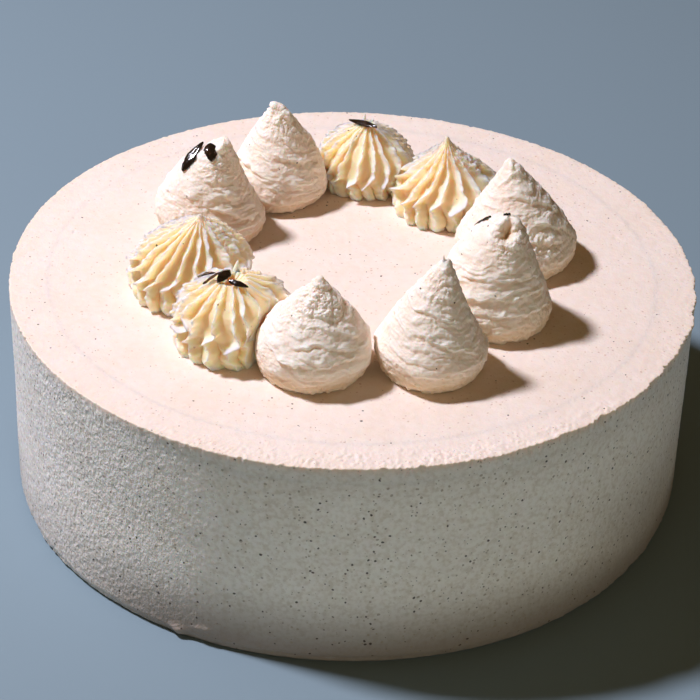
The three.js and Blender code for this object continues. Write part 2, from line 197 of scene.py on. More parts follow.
# ------------------------------------------------------------------------------ meshes
@dataclass
class Surface:
    """Points and faces of a closed surface, in millimetres, with values carried at its points."""

    points: Array
    quads: Array
    triangles: Array
    values: dict[str, Array] = field(default_factory=dict)

    @staticmethod
    def lathed(rings: Array, bottom: Array, top: Array, values: dict[str, Array]) -> "Surface":
        """A body from rings of points, the first ring lowest, closed by a fan at either end.

        Args:
            rings: Points of shape (rows, columns, 3), each ring running anticlockwise from above.
            bottom: The middle of the lower fan.
            top: The middle of the upper fan.
            values: Arrays of shape (rows, columns) to be carried at the points.

        Returns:
            The closed surface, its faces pointing outwards.
        """
        rows, columns = rings.shape[:2]
        points = np.concatenate([rings.reshape(-1, 3), bottom[None, :], top[None, :]])
        index = np.arange(rows * columns).reshape(rows, columns)
        beside = np.roll(index, -1, axis=1)
        quads = np.stack([index[:-1], beside[:-1], beside[1:], index[1:]], axis=-1).reshape(-1, 4)
        low = np.stack([np.full(columns, rows * columns), beside[0], index[0]], axis=-1)
        high = np.stack([np.full(columns, rows * columns + 1), index[-1], beside[-1]], axis=-1)
        carried = {
            name: np.concatenate([array.ravel(), [array[0].mean(), array[-1].mean()]])
            for name, array in values.items()
        }
        return Surface(points, quads, np.concatenate([low, high]), carried)

    @staticmethod
    def hoop(rings: Array, values: dict[str, Array]) -> "Surface":
        """A ring-shaped body whose rows close on themselves as its columns do.

        Args:
            rings: Points of shape (rows, columns, 3); the rows run round the cross-section,
                inwards over the top, out and down the outside, and back inside.
            values: Arrays of shape (rows, columns) to be carried at the points.

        Returns:
            The closed surface, its faces pointing outwards.
        """
        rows, columns = rings.shape[:2]
        index = np.arange(rows * columns).reshape(rows, columns)
        beside = np.roll(index, -1, axis=1)
        after = np.roll(index, -1, axis=0)
        both = np.roll(beside, -1, axis=0)
        quads = np.stack([index, after, both, beside], axis=-1).reshape(-1, 4)
        carried = {name: array.ravel() for name, array in values.items()}
        return Surface(rings.reshape(-1, 3), quads, np.zeros((0, 3), int), carried)

    @staticmethod
    def joined(parts: Sequence["Surface"]) -> "Surface":
        """Several closed surfaces as one; a value that a part lacks is 0 there."""
        names = sorted({name for part in parts for name in part.values})
        starts = np.cumsum([0] + [len(part.points) for part in parts[:-1]])
        return Surface(
            np.concatenate([part.points for part in parts]),
            np.concatenate([part.quads + start for part, start in zip(parts, starts)]),
            np.concatenate([part.triangles + start for part, start in zip(parts, starts)]),
            {
                name: np.concatenate(
                    [part.values.get(name, np.zeros(len(part.points))) for part in parts]
                )
                for name in names
            },
        )

    def made(self, name: str, finish: bpy.types.Material, slot: str) -> bpy.types.Object:
        """Puts the surface into a smooth-shaded mesh object that rides on the cake.

        Args:
            name: The object's name.
            finish: The material.
            slot: Not used.

        Returns:
            The new object, at the origin and unscaled.
        """
        mesh = bpy.data.meshes.new(name)
        corners = np.concatenate([self.quads.ravel(), self.triangles.ravel()]).astype(np.int32)
        quad_starts = np.arange(len(self.quads)) * 4
        triangle_starts = len(self.quads) * 4 + np.arange(len(self.triangles)) * 3
        starts = np.concatenate([quad_starts, triangle_starts]).astype(np.int32)
        mesh.vertices.add(len(self.points))
        mesh.vertices.foreach_set("co", (self.points * MM).astype(np.float32).ravel())
        mesh.loops.add(len(corners))
        mesh.loops.foreach_set("vertex_index", corners)
        mesh.polygons.add(len(starts))
        mesh.polygons.foreach_set("loop_start", starts)
        mesh.update(calc_edges=True)
        mesh.polygons.foreach_set("use_smooth", np.ones(len(starts), bool))
        for key, array in self.values.items():
            layer = mesh.attributes.new(key, "FLOAT", "POINT")
            layer.data.foreach_set("value", array.astype(np.float32))
        mesh.materials.append(finish)
        piece = bpy.data.objects.new(name, mesh)
        bpy.context.scene.collection.objects.link(piece)
        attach(piece, BODY)
        faces = 2 * len(self.quads) + len(self.triangles)
        LOG.info("%s: %d triangles, finish %s", name, faces, finish.name)
        return piece


def outward(grid: Array) -> Array:
    """Unit normals of a closed ring grid: along the ring crossed with up the rows."""
    along = np.roll(grid, -1, axis=1) - np.roll(grid, 1, axis=1)
    upward = np.gradient(grid, axis=0)
    normal = np.cross(along, upward)
    return normal / np.maximum(np.linalg.norm(normal, axis=-1, keepdims=True), 1e-9)


def spike(foot: Sequence[float], tip: Sequence[float], radius: float, bend: float = 0.0) -> Surface:
    """A thin drawn-out peak of cream between two points.

    Rings of radius times (1 - share) to the power 0.8, along the straight line plus a sideways
    bow of bend times sin(pi share).

    Args:
        foot: Middle of the wide end, in millimetres.
        tip: The pointed end.
        radius: Radius of the wide end.
        bend: How far the middle bows sideways.

    Returns:
        The closed peak.
    """
    rows, columns = 14, 14
    start, end = np.array(foot, float), np.array(tip, float)
    along = (end - start) / np.linalg.norm(end - start)
    side = np.cross(along, (0.0, 1.0, 0.0))
    side /= np.linalg.norm(side)
    other = np.cross(along, side)
    share = np.linspace(0.0, 0.97, rows)[:, None, None]
    turn = (TAU * np.arange(columns) / columns)[None, :, None]
    wide = radius * (1.0 - share) ** 0.8
    middle = start + (end - start) * share + side * bend * np.sin(math.pi * share)
    rings = middle + wide * (side * np.cos(turn) + other * np.sin(turn))
    # on a star the peak takes the ribs' painted highlight
    ridge = np.full((rows, columns), 0.9)
    return Surface.lathed(rings, start, end, {"ridge": ridge, "hollow": 0.0 * ridge})


# ------------------------------------------------------------------------------ shader maths
class Flow:
    """A number that flows through a material; arithmetic on it adds Math nodes."""

    def __init__(self, book: "Book", socket: bpy.types.NodeSocket) -> None:
        """Wraps an output socket of the book's material."""
        self.book = book
        self.socket = socket

    def maths(self, operation: str, *values: "Flow | float", hold: bool = False) -> "Flow":
        """One Math node on the given values.

        Args:
            operation: The node's operation.
            values: Its inputs in order, flows or plain numbers.
            hold: Whether the result is held to 0..1.

        Returns:
            The node's result.
        """
        settings = {"operation": operation, "use_clamp": hold}
        node = self.book.add("ShaderNodeMath", settings, dict(enumerate(values)))
        return Flow(self.book, node.outputs[0])

    def __add__(self, other: "Flow | float") -> "Flow":
        """Sum."""
        return self.maths("ADD", self, other)

    __radd__ = __add__

    def __mul__(self, other: "Flow | float") -> "Flow":
        """Product."""
        return self.maths("MULTIPLY", self, other)

    __rmul__ = __mul__

    def __sub__(self, other: "Flow | float") -> "Flow":
        """Difference."""
        return self.maths("SUBTRACT", self, other)

    def __rsub__(self, other: float) -> "Flow":
        """Difference from a plain number."""
        return self.maths("SUBTRACT", other, self)

    def __pow__(self, other: float) -> "Flow":
        """Power."""
        return self.maths("POWER", self, other)

    def __lt__(self, other: "Flow | float") -> "Flow":
        """1 where this is the smaller."""
        return self.maths("LESS_THAN", self, other)

    def off(self, centre: float) -> "Flow":
        """Distance from a plain number."""
        return self.maths("ABSOLUTE", self - centre)

    def held(self) -> "Flow":
        """The same, held to 0..1."""
        return self.maths("ADD", self, 0.0, hold=True)

    def step(self, low: float, high: float) -> "Flow":
        """Straight ramp from 0 at low to 1 at high, held at both ends."""
        return self.maths("MULTIPLY", self - low, 1.0 / (high - low), hold=True)


Colour = tuple[float, float, float]


class Book:
    """The nodes of one material."""

    def __init__(self, name: str) -> None:
        """Starts an empty node material."""
        self.material = bpy.data.materials.new(name)
        self.material.use_nodes = True
        self.tree = self.material.node_tree
        self.tree.nodes.clear()

    def add(self, kind: str, settings: dict, inputs: dict) -> bpy.types.Node:
        """Adds a node.

        Args:
            kind: Blender's name of the node type.
            settings: Properties of the node, set first.
            inputs: Values or links by socket name or number.

        Returns:
            The new node.
        """
        node = self.tree.nodes.new(kind)
        for key, value in settings.items():
            setattr(node, key, value)
        for key, value in inputs.items():
            socket = node.inputs[key]
            if isinstance(value, Flow):
                value = value.socket
            if isinstance(value, bpy.types.NodeSocket):
                self.tree.links.new(value, socket)
            elif isinstance(value, tuple) and len(value) == 3 and socket.type == "RGBA":
                socket.default_value = (*value, 1.0)
            else:
                socket.default_value = value
        return node

    def place(self) -> bpy.types.NodeSocket:
        """The piece's own coordinates, in metres."""
        return self.add("ShaderNodeTexCoord", {}, {}).outputs["Object"]

    def value(self, name: str) -> Flow:
        """A value that the mesh carries at its points."""
        node = self.add("ShaderNodeAttribute", {"attribute_name": name}, {})
        return Flow(self, node.outputs["Fac"])

    def stretched(self, place: bpy.types.NodeSocket, scale: Colour) -> bpy.types.NodeSocket:
        """Coordinates multiplied by a scale along each axis."""
        settings = {"operation": "MULTIPLY"}
        return self.add("ShaderNodeVectorMath", settings, {0: place, 1: scale}).outputs[0]

    def noise(self, place: bpy.types.NodeSocket, size: float, detail: float = 3.0) -> Flow:
        """Fractal noise, 0 to 1, whose largest lumps are about size millimetres across."""
        inputs = {"Vector": place, "Scale": 1.0 / (size * MM), "Detail": detail}
        return Flow(self, self.add("ShaderNodeTexNoise", {}, inputs).outputs["Fac"])

    def mixed(
        self,
        share: Flow | float,
        first: Colour | bpy.types.NodeSocket,
        second: Colour | bpy.types.NodeSocket,
    ) -> bpy.types.NodeSocket:
        """A colour between two, by a share."""
        inputs = {0: share, 6: first, 7: second}
        return self.add("ShaderNodeMix", {"data_type": "RGBA"}, inputs).outputs[2]

    def grains(
        self,
        place: bpy.types.NodeSocket,
        cell: float,
        kept: float,
        radius: tuple[float, float],
        seed: float,
    ) -> Flow:
        """Scattered round grains: 1 inside them and 0 outside.

        Space is divided into cells around scattered points; a share of them, kept, holds a grain
        whose radius grows with the square of a second random number.

        Args:
            place: Coordinates in metres.
            cell: Size of a cell in millimetres.
            kept: Share of the cells that hold a grain.
            radius: Smallest and largest radius in millimetres.
            seed: Shifts the pattern, in millimetres.

        Returns:
            The grains' share.
        """
        moved = self.add(
            "ShaderNodeVectorMath", {"operation": "ADD"}, {0: place, 1: (seed * MM,) * 3}
        ).outputs[0]
        voronoi = self.add(
            "ShaderNodeTexVoronoi", {}, {"Vector": moved, "Scale": 1.0 / (cell * MM)}
        )
        tones = self.add("ShaderNodeSeparateColor", {}, {0: voronoi.outputs["Color"]})
        chosen = Flow(self, tones.outputs[0]) < kept
        size = Flow(self, tones.outputs[1]) ** 2.0
        reach = size * ((radius[1] - radius[0]) / cell) + radius[0] / cell
        edge = 0.06 / cell
        inside = (reach - Flow(self, voronoi.outputs["Distance"])).step(-edge, edge)
        return inside * chosen

    def bumped(self, height: Flow, depth: float) -> bpy.types.NodeSocket:
        """A normal from a height of 0 to 1 that stands for depth millimetres."""
        inputs = {"Height": height, "Distance": depth * MM, "Strength": 1.0}
        return self.add("ShaderNodeBump", {}, inputs).outputs["Normal"]

    def finished(self, inputs: dict) -> bpy.types.Material:
        """Ends the material in a Principled shader with the given inputs."""
        shader = self.add("ShaderNodeBsdfPrincipled", {}, inputs)
        output = self.add("ShaderNodeOutputMaterial", {}, {})
        self.tree.links.new(shader.outputs[0], output.inputs["Surface"])
        return self.material


class Slot(Enum):
    """The record's material slots."""

    COAT = "cream_coat"
    CONE = "cone_cream"
    STAR = "star_cream"
    SHARD = "dark_shard"


@dataclass(frozen=True)
class Speckles:
    """Dark specks and faint brown dashes held in a cream."""

    dark_cell: float = 4.6
    dark_kept: float = 0.36
    dark_radius: tuple[float, float] = (0.1, 0.42)
    dark: Colour = (0.055, 0.035, 0.025)
    faint_cell: float = 2.6
    faint_kept: float = 0.3
    faint_radius: tuple[float, float] = (0.08, 0.34)
    faint: Colour = (0.42, 0.27, 0.17)
    faint_share: float = 0.5

    def over(
        self, book: Book, place: bpy.types.NodeSocket, cream: bpy.types.NodeSocket
    ) -> bpy.types.NodeSocket:
        """The cream's colour with the specks laid over it."""
        wander = book.add("ShaderNodeTexNoise", {}, {"Vector": place, "Scale": 420.0})
        crooked = book.add(
            "ShaderNodeVectorMath",
            {"operation": "MULTIPLY_ADD"},
            {0: wander.outputs["Color"], 1: (0.0011,) * 3, 2: place},
        ).outputs[0]
        faint = book.grains(crooked, self.faint_cell, self.faint_kept, self.faint_radius, 3.1)
        dark = book.grains(crooked, self.dark_cell, self.dark_kept, self.dark_radius, 41.7)
        veiled = book.mixed(faint * self.faint_share, cream, self.faint)
        return book.mixed(dark * 0.92, veiled, self.dark)


@dataclass(frozen=True)
class CoatFinish:
    """Smoothed cream of the coat: matt, pinkish on top and more speckled down the side.

    Down the side a greyer copy of the cream is a painted cast of the light that falls on the wall.
    """

    pale: Colour = (0.88, 0.775, 0.685)
    deep: Colour = (0.82, 0.68, 0.54)
    # painted cast: the side's greyer copy of the cream stands in for the light on the wall
    side_pale_painted_cast: Colour = (0.94, 0.905, 0.83)
    side_deep_painted_cast: Colour = (0.75, 0.69, 0.59)
    # painted shade, laid over the wall by the value "foot"
    side_painted_shade: Colour = (0.23, 0.185, 0.15)
    # painted glow and painted shade along the rim's edge: light through the thin lip, shade under it
    lip: Colour = (0.82, 0.65, 0.48)
    roughness: float = 0.58
    top_specks: Speckles = Speckles(
        dark_cell=2.4,
        dark_kept=0.4,
        dark_radius=(0.1, 0.32),
        faint_cell=1.3,
        faint_kept=0.6,
        faint=(0.5, 0.3, 0.2),
    )
    side_specks: Speckles = Speckles(
        dark_cell=1.85,
        dark_kept=0.55,
        dark_radius=(0.14, 0.4),
        faint_cell=1.45,
        faint_kept=0.72,
        faint_radius=(0.14, 0.42),
        faint=(0.33, 0.27, 0.19),
        faint_share=0.68,
    )

    def made(self) -> bpy.types.Material:
        """The material, shaped by the values "side", "foot", "peel" and "lip" of the mesh.

        "side" turns to the wall's greyer copy of the cream, a painted cast of the light on the wall;
        "foot" lays painted shade on the wall; "lip" lays a painted glow and painted shade along the
        edge.

        The top is mottled over 16 and 2.6 mm, the side over 16, 2.6 and 1.3 mm. The wrinkles are
        sharp ridges where a noise of 1.6 mm crosses its middle.
        """
        book = Book("speckled_cream")
        place = book.place()
        # "lip": share of the painted glow and painted shade along the rim's edge
        side, lip = book.value("side"), book.value("lip") * 0.75
        broad = book.noise(place, 16.0, 3.0).step(0.35, 0.7)
        small = book.noise(place, 2.6, 4.0)
        tiny = book.noise(place, 1.3, 3.0)
        depth = (broad * 0.35 + small.step(0.4, 0.75) * 0.4).held()
        top = book.mixed(lip, book.mixed(depth, self.pale, self.deep), self.lip)
        top = self.top_specks.over(book, place, top)
        # the wall's greyer copy of the cream, a painted cast of the light on it
        depth = (tiny.step(0.42, 0.66) * 0.6 + broad * 0.25 + small.step(0.48, 0.7) * 0.35).held()
        wall = book.mixed(lip, book.mixed(depth, self.side_pale_painted_cast, self.side_deep_painted_cast), self.lip)
        # painted shade: darker towards the table, at the right and just under the rim
        wall = book.mixed(book.value("foot") * 0.9, wall, self.side_painted_shade)
        wall = self.side_specks.over(book, place, wall)
        wrinkles = book.noise(book.stretched(place, (1.0, 1.0, 0.62)), 1.6, 2.0).off(0.5)
        fine = book.noise(place, 0.55, 3.0)
        relief = fine * 0.12 + tiny * 0.3 - wrinkles * book.value("peel") * 3.4
        normal = book.bumped(relief, 0.4)
        return book.finished(
            {
                "Base Color": book.mixed(side, top, wall),
                "Roughness": small * 0.16 + (self.roughness - 0.08),
                "Normal": normal,
                "Subsurface Weight": 0.3,
                "Subsurface Radius": (1.0, 0.6, 0.35),
                "Subsurface Scale": 0.002,
                "Specular IOR Level": 0.35,
            }
        )


@dataclass(frozen=True)
class ConeFinish:
    """Stiff cream of the plain cones: whitish pink, with painted shade in its creases and at its
    foot.
    """

    pale: Colour = (0.97, 0.875, 0.775)
    # painted shade in the creases and over the tucked-in foot, with a little random mottle
    tan: Colour = (0.76, 0.54, 0.32)
    roughness: float = 0.8
    speckles: Speckles = Speckles(dark_cell=2.4, dark_kept=0.34, dark_radius=(0.1, 0.3))

    def made(self) -> bpy.types.Material:
        """The material, tinted with painted shade by the value "hollow" that the mesh carries."""
        book = Book("piped_cone_cream")
        place = book.place()
        mottle = book.noise(place, 3.2, 4.0)
        depth = (book.value("hollow") * 0.85 + mottle.step(0.5, 0.8) * 0.15).held()
        cream = self.speckles.over(book, place, book.mixed(depth, self.pale, self.tan))
        strands = book.noise(book.stretched(place, (0.5, 0.5, 1.5)), 0.9, 4.0)
        crumbs = book.noise(place, 0.5, 3.0)
        normal = book.bumped(strands * 0.6 + crumbs * 0.8, 0.14)
        return book.finished(
            {
                "Base Color": cream,
                "Roughness": mottle * 0.15 + (self.roughness - 0.07),
                "Normal": normal,
                "Subsurface Weight": 0.5,
                "Subsurface Radius": (1.0, 0.6, 0.4),
                "Subsurface Scale": 0.0025,
                "Specular IOR Level": 0.08,
            }
        )


@dataclass(frozen=True)
class StarFinish:
    """Satin yellow cream of the stars, with a painted glow in the grooves and painted highlights on
    the ribs.
    """

    # groove: the cream's yellow deepened by a painted glow; ridge: a painted highlight along the
    # ribs
    groove: Colour = (1.0, 0.755, 0.44)
    ridge: Colour = (1.0, 0.9, 0.74)
    rough: Colour = (0.98, 0.86, 0.7)
    roughness: float = 0.44
    speckles: Speckles = Speckles(dark_cell=2.8, dark_kept=0.22, dark_radius=(0.12, 0.32))

    def made(self) -> bpy.types.Material:
        """The material, tinted by "ridge", the ribs' painted highlight and the grooves' painted
        glow, and by "hollow".
        """
        book = Book("piped_star_cream")
        place = book.place()
        mottle = book.noise(place, 2.8, 3.0)
        crest = (book.value("ridge") * 0.95 + mottle.step(0.5, 0.85) * 0.2).held()
        cream = book.mixed(crest, self.groove, self.ridge)
        cream = book.mixed(book.value("hollow"), cream, self.rough)
        cream = self.speckles.over(book, place, cream)
        fine = book.noise(place, 0.7, 3.0)
        normal = book.bumped(fine, 0.07)
        return book.finished(
            {
                "Base Color": cream,
                "Roughness": book.value("ridge") * 0.16 + (self.roughness - 0.02),
                "Normal": normal,
                "Subsurface Weight": 0.9,
                "Subsurface Radius": (1.0, 0.55, 0.27),
                "Subsurface Scale": 0.005,
                "Specular IOR Level": 0.35,
            }
        )


@dataclass(frozen=True)
class ShardFinish:
    """Glossy, near black brown of the thin shards."""

    dark: Colour = (0.012, 0.007, 0.005)
    brown: Colour = (0.06, 0.026, 0.012)

    def made(self, name: str, warm: bool) -> bpy.types.Material:
        """The material of the dark shards, or of the browner one.

        Args:
            name: The material's name.
            warm: Whether the shard is the browner kind.

        Returns:
            The material.
        """
        book = Book(name)
        place = book.place()
        mottle = book.noise(place, 1.6, 3.0)
        deep, light = (self.brown, (0.32, 0.17, 0.08)) if warm else (self.dark, self.brown)
        normal = book.bumped(book.noise(place, 0.9, 3.0), 0.09)
        return book.finished(
            {
                "Base Color": book.mixed(mottle.step(0.5, 0.8), deep, light),
                "Roughness": mottle * 0.2 + 0.06,
                "Normal": normal,
                "Coat Weight": 0.6,
                "Coat Roughness": 0.06,
            }
        )


@dataclass(frozen=True)
class FloorFinish:
    """Plain pale floor."""

    pale: Colour = (0.2, 0.28, 0.325)
    shade: Colour = (0.185, 0.26, 0.305)

    def made(self) -> bpy.types.Material:
        """The material: matt, with the faintest unevenness."""
        book = Book("pale_floor")
        tone = book.noise(book.place(), 300.0, 2.0).step(0.3, 0.7)
        colour = book.mixed(tone * 0.3, self.pale, self.shade)
        return book.finished({"Base Color": colour, "Roughness": 0.75})


# ------------------------------------------------------------------------------ the cake's coat
@dataclass
class CakeCoat:
    """The covered cake: flat speckled top, sharp uneven rim and a smoothed wall."""

    finish: bpy.types.Material
    seed: int = 11
    top_columns: int = 680
    top_rows: int = 118
    rim_columns: int = 1720
    wall_columns: int = 860
    wall_rows: int = 112
    join_radius: float = 88.6  # the rim piece takes over from the top here
    join_height: float = 61.0  # and from the wall here
    foot_bulge: float = 1.2
    foot_bulge_angle: float = -2.42
    left_side: float = -150.0  # degrees; the wall's grain is strongest here, and its painted shade at the foot weakest
    wrinkled_side: float = -134.0  # the wall is most wrinkled here
    right_side: float = -30.0  # the wall carries painted shade here, up to 50 mm above the table
    groove_side: float = -92.0  # the groove above the foot is deepest here
    crumbly_side: float = -82.0  # the edge of the top is roughest here
    lumpy_side: float = -58.0  # most of the rim's lumps lie here
    scalloped_side: float = -32.0  # the lip has its scallops here

    def __post_init__(self) -> None:
        """Prepares the noise of the coat."""
        self.grain = Grain(self.seed)

    def radius(self, angle: Array, height: Array | float) -> Array:
        """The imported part's wall radius: two slow waves round it and a swelling at the foot."""
        waves = 0.22 * np.sin(3 * angle + 0.6) + 0.14 * np.sin(7 * angle + 2.1)
        swell = bell(turned(angle, self.foot_bulge_angle), 0.45)
        return CAKE_RADIUS + waves + self.foot_bulge * swell * np.clip(1 - height / 34.0, 0, 1)

    def peel_and_painted_shade(self, angle: Array, height: Array | float) -> dict[str, Array]:
        """How wrinkled the wall is, and how much painted shade covers it.

        The painted shade grows over the last 27 mm above the table, less so at the left. It starts
        at 50 mm at the right, and a little of it lies just below the rim.

        Args:
            angle: Angles of the wall's points.
            height: Their heights.

        Returns:
            The values "peel" and "foot", the share of painted shade.
        """
        left = smooth(0.52, 0.1, np.abs(turned(angle, math.radians(self.wrinkled_side))))
        wall = smooth(CAKE_HEIGHT - 0.5, CAKE_HEIGHT - 3.0, height + 0.0 * angle)
        away = smooth(0.15, 0.6, np.abs(turned(angle, math.radians(self.left_side))))
        right = smooth(0.5, 0.0, np.abs(turned(angle, math.radians(self.right_side))))
        # painted shade towards the table, at the right and just under the rim, least at the lit left
        foot = smooth(27.0, 1.0, height + 0.0 * angle) * (0.35 + 0.65 * away)
        foot = np.maximum(foot, 0.75 * right * smooth(50.0, 2.0, height + 0.0 * angle))
        foot += 0.16 * smooth(50.0, 64.0, height + 0.0 * angle) * away
        return {"peel": (0.14 + 0.7 * left) * wall, "foot": foot}

    def top_relief(self, x: Array, y: Array) -> Array:
        """Height of the top above its plane: slow swells, fine grain, dimples and a rough edge.

        Noise of 24, 5 and 1.6 mm, minus small bowls where a scattered point is near, plus
        rounded crumbs of 1.8 mm along the rim, over the last 11 mm at the front and 4 mm elsewhere.
        """
        grain = self.grain
        away = np.hypot(x, y)
        angle = np.arctan2(y, x)
        flat = stacked(x, y, 0.0)
        slow = 0.13 * grain.at(flat / 24.0) + 0.07 * grain.fractal(flat / 5.0, 2)
        fine = 0.035 * grain.fractal(flat / 1.6 + 5.0, 2)
        near, tone = grain.cells(flat / 6.5 + 3.3)
        dimples = 0.3 * (tone < 0.24) * bell(near * 6.5, 0.62)
        nicks, which = grain.cells(flat / 2.7 + 8.1)
        dimples += 0.16 * (which < 0.18) * bell(nicks * 2.7, 0.36)
        front = bell(turned(angle, math.radians(self.crumbly_side)), 0.6)
        band = smooth(87.0 + 7.0 * (1 - front), 98.0, away)
        rough = band * (0.16 + 0.94 * front) * (0.75 + 0.9 * grain.at(flat / 6.0 + 2.0))
        crumbs = 0.75 * np.clip(rough, 0, 1) * (grain.billow(flat / 1.8, 3) - 0.3)
        return slow + fine - dimples + crumbs

    def rim_lumps(self, angle: Array, inside: Array) -> Array:
        """Lumps of cream smeared along the edge, in millimetres of height.

        Scattered points in cells of 5 by 2.4 mm, drawn out round the rim, most of them at the
        front right.
        """
        arc = CAKE_RADIUS * angle
        near, tone = self.grain.cells(stacked(arc / 5.0, inside / 2.4, 0.5))
        where = 0.1 + 0.9 * bell(turned(angle, math.radians(self.lumpy_side)), 0.3)
        return 0.6 * where * (tone < 0.5) * bell(near, 0.34) * smooth(6.5, 2.0, inside)

    def wall_relief(self, angle: Array, height: Array) -> Array:
        """How far the wall's cream stands out: slow swells, orange peel and a few scratches.

        Noise of 26 and 7 mm, plus upright grain of about 1.3 by 2.1 mm that is strongest at the
        left, minus two thin upright scratches and a shallow groove above the foot; at the front
        left of the foot a blob and a smear of cream stand out.
        """
        grain = self.grain
        around = stacked(CAKE_RADIUS * np.cos(angle), CAKE_RADIUS * np.sin(angle), height)
        slow = 0.12 * grain.at(around / 26.0 + 4.0) + 0.05 * grain.at(around / 7.0 + 1.0)
        aside = np.abs(turned(angle, math.radians(self.left_side)))
        left = 0.35 + 0.65 * smooth(0.75, 0.1, aside)
        peel = grain.fractal(around / np.array((1.3, 1.3, 2.1), np.float32) + 7.0, 2)
        peel = 0.16 * left * peel
        scratches = np.zeros_like(slow)
        for turn, low, high in ((-105.3, 47.0, 57.0), (-104.5, 33.0, 41.0)):
            aside = CAKE_RADIUS * turned(angle, math.radians(turn)) - 0.05 * (height - low)
            window = smooth(low, low + 2.0, height) * smooth(high, high - 2.0, height)
            scratches += 0.22 * bell(aside, 0.35) * window
        foot_line = 1.4 + 0.5 * grain.at(around * np.array((0.09, 0.09, 0.0), np.float32))
        front = bell(turned(angle, math.radians(self.groove_side)), 0.24)
        groove = (0.4 + 0.7 * front) * bell(height - foot_line - 0.5, 0.5)
        marks = np.zeros_like(slow)
        for turn, level, long, tall, out in (
            (-116.6, 2.4, 1.9, 1.3, 1.3),
            (-112.8, 5.0, 1.5, 0.7, 0.45),
            (-111.6, 5.6, 1.3, 0.6, 0.4),
        ):
            aside = CAKE_RADIUS * turned(angle, math.radians(turn))
            marks += out * bell(np.hypot(aside / long, (height - level) / tall), 1.0)
        return slow + peel - scratches - groove + marks

    def rim_reach(self, angle: Array) -> Array:
        """How far the lip stands out round the rim.

        A slow swell, scallops of 7 mm noise at the right, burrs of 1.6 mm, and nicks cut back
        where a noise of 2.6 mm is highest.
        """
        grain = self.grain
        circle = stacked(np.cos(angle), np.sin(angle), 0.0) * CAKE_RADIUS
        slow = 0.1 + 0.16 * grain.at(circle / 17.0 + 6.0)
        right = smooth(0.85, 0.25, np.abs(turned(angle, math.radians(self.scalloped_side))))
        scallops = 1.0 * right * grain.at(circle / 7.0 + 1.0)
        burrs = (0.2 + 0.32 * right) * grain.fractal(circle / 1.6 + 2.0, 3)
        nicks = 0.5 * smooth(0.35, 0.75, grain.at(circle / 2.6 + 8.0))
        return slow + scallops + burrs - nicks

    def top_piece(self) -> Surface:
        """The cake's core with its flat top, as rings from the foot of the core to the middle.

        The outermost rings dip just below the rim piece, which carries the surface on.
        """
        angle = TAU * np.arange(self.top_columns) / self.top_columns
        share = np.linspace(0.0, 1.0, self.top_rows)
        outermost = self.join_radius + 4.0
        reach = outermost * (1.0 - share) ** 0.8
        reach = np.maximum(reach, 0.4)
        a, r = np.meshgrid(angle, reach)
        x, y = r * np.cos(a), r * np.sin(a)
        dip = 0.4 * smooth(self.join_radius + 0.4, outermost, r) ** 1.5
        rings = np.stack([x, y, CAKE_HEIGHT + self.top_relief(x, y) - dip], axis=-1)
        low = rings[:1].copy()
        low[..., 2] = 1.5
        rings = np.concatenate([low, rings])
        values = {"lip": np.zeros(rings.shape[:2]), "side": np.zeros(rings.shape[:2])}
        middle = rings[-1].mean(axis=0)
        return Surface.lathed(rings, np.array((0.0, 0.0, 1.5)), middle, values)

    def wall_piece(self) -> Surface:
        """The wall as rings from the resting foot up to behind the rim piece."""
        angle = TAU * np.arange(self.wall_columns) / self.wall_columns
        visible = np.linspace(0.0, self.join_height + 0.8, self.wall_rows)
        a, z = np.meshgrid(angle, visible)
        tuck = 1.3 * (1.0 - smooth(0.0, 2.4, z)) ** 2
        dip = 0.3 * smooth(self.join_height - 0.1, self.join_height + 0.8, z) ** 1.5
        r = self.radius(a, z) + self.wall_relief(a, z) - tuck - dip
        ragged = 0.35 * self.grain.fractal(stacked(r * np.cos(a), r * np.sin(a), z) / 2.2, 2)
        r = r + ragged * (1.0 - smooth(0.4, 2.6, z)) * smooth(0.0, 0.2, z)
        rings = np.stack([r * np.cos(a), r * np.sin(a), z], axis=-1)
        plain = np.zeros(rings.shape[:2])
        values = {"lip": plain, "side": plain + 1.0, **self.peel_and_painted_shade(a, z)}
        top = np.array((0.0, 0.0, self.join_height + 0.8))
        return Surface.lathed(rings, np.array((0.0, 0.0, 0.0)), top, values)

    def rim_piece(self) -> Surface:
        """The rim as a hoop: over the top, round the edge, and down the first part of the wall.

        The cross-section runs from inside the top outwards, turns over the edge with a radius of
        about 0.35 mm, goes down into the wall, and returns through the cake. The tan along the edge
        is a painted glow of light through the thin lip and painted shade under it; it fades over
        some 3 mm below the edge and 1 mm above it.
        """
        angle = TAU * np.arange(self.rim_columns) / self.rim_columns
        reach = self.rim_reach(angle)
        edge = self.radius(angle, CAKE_HEIGHT)
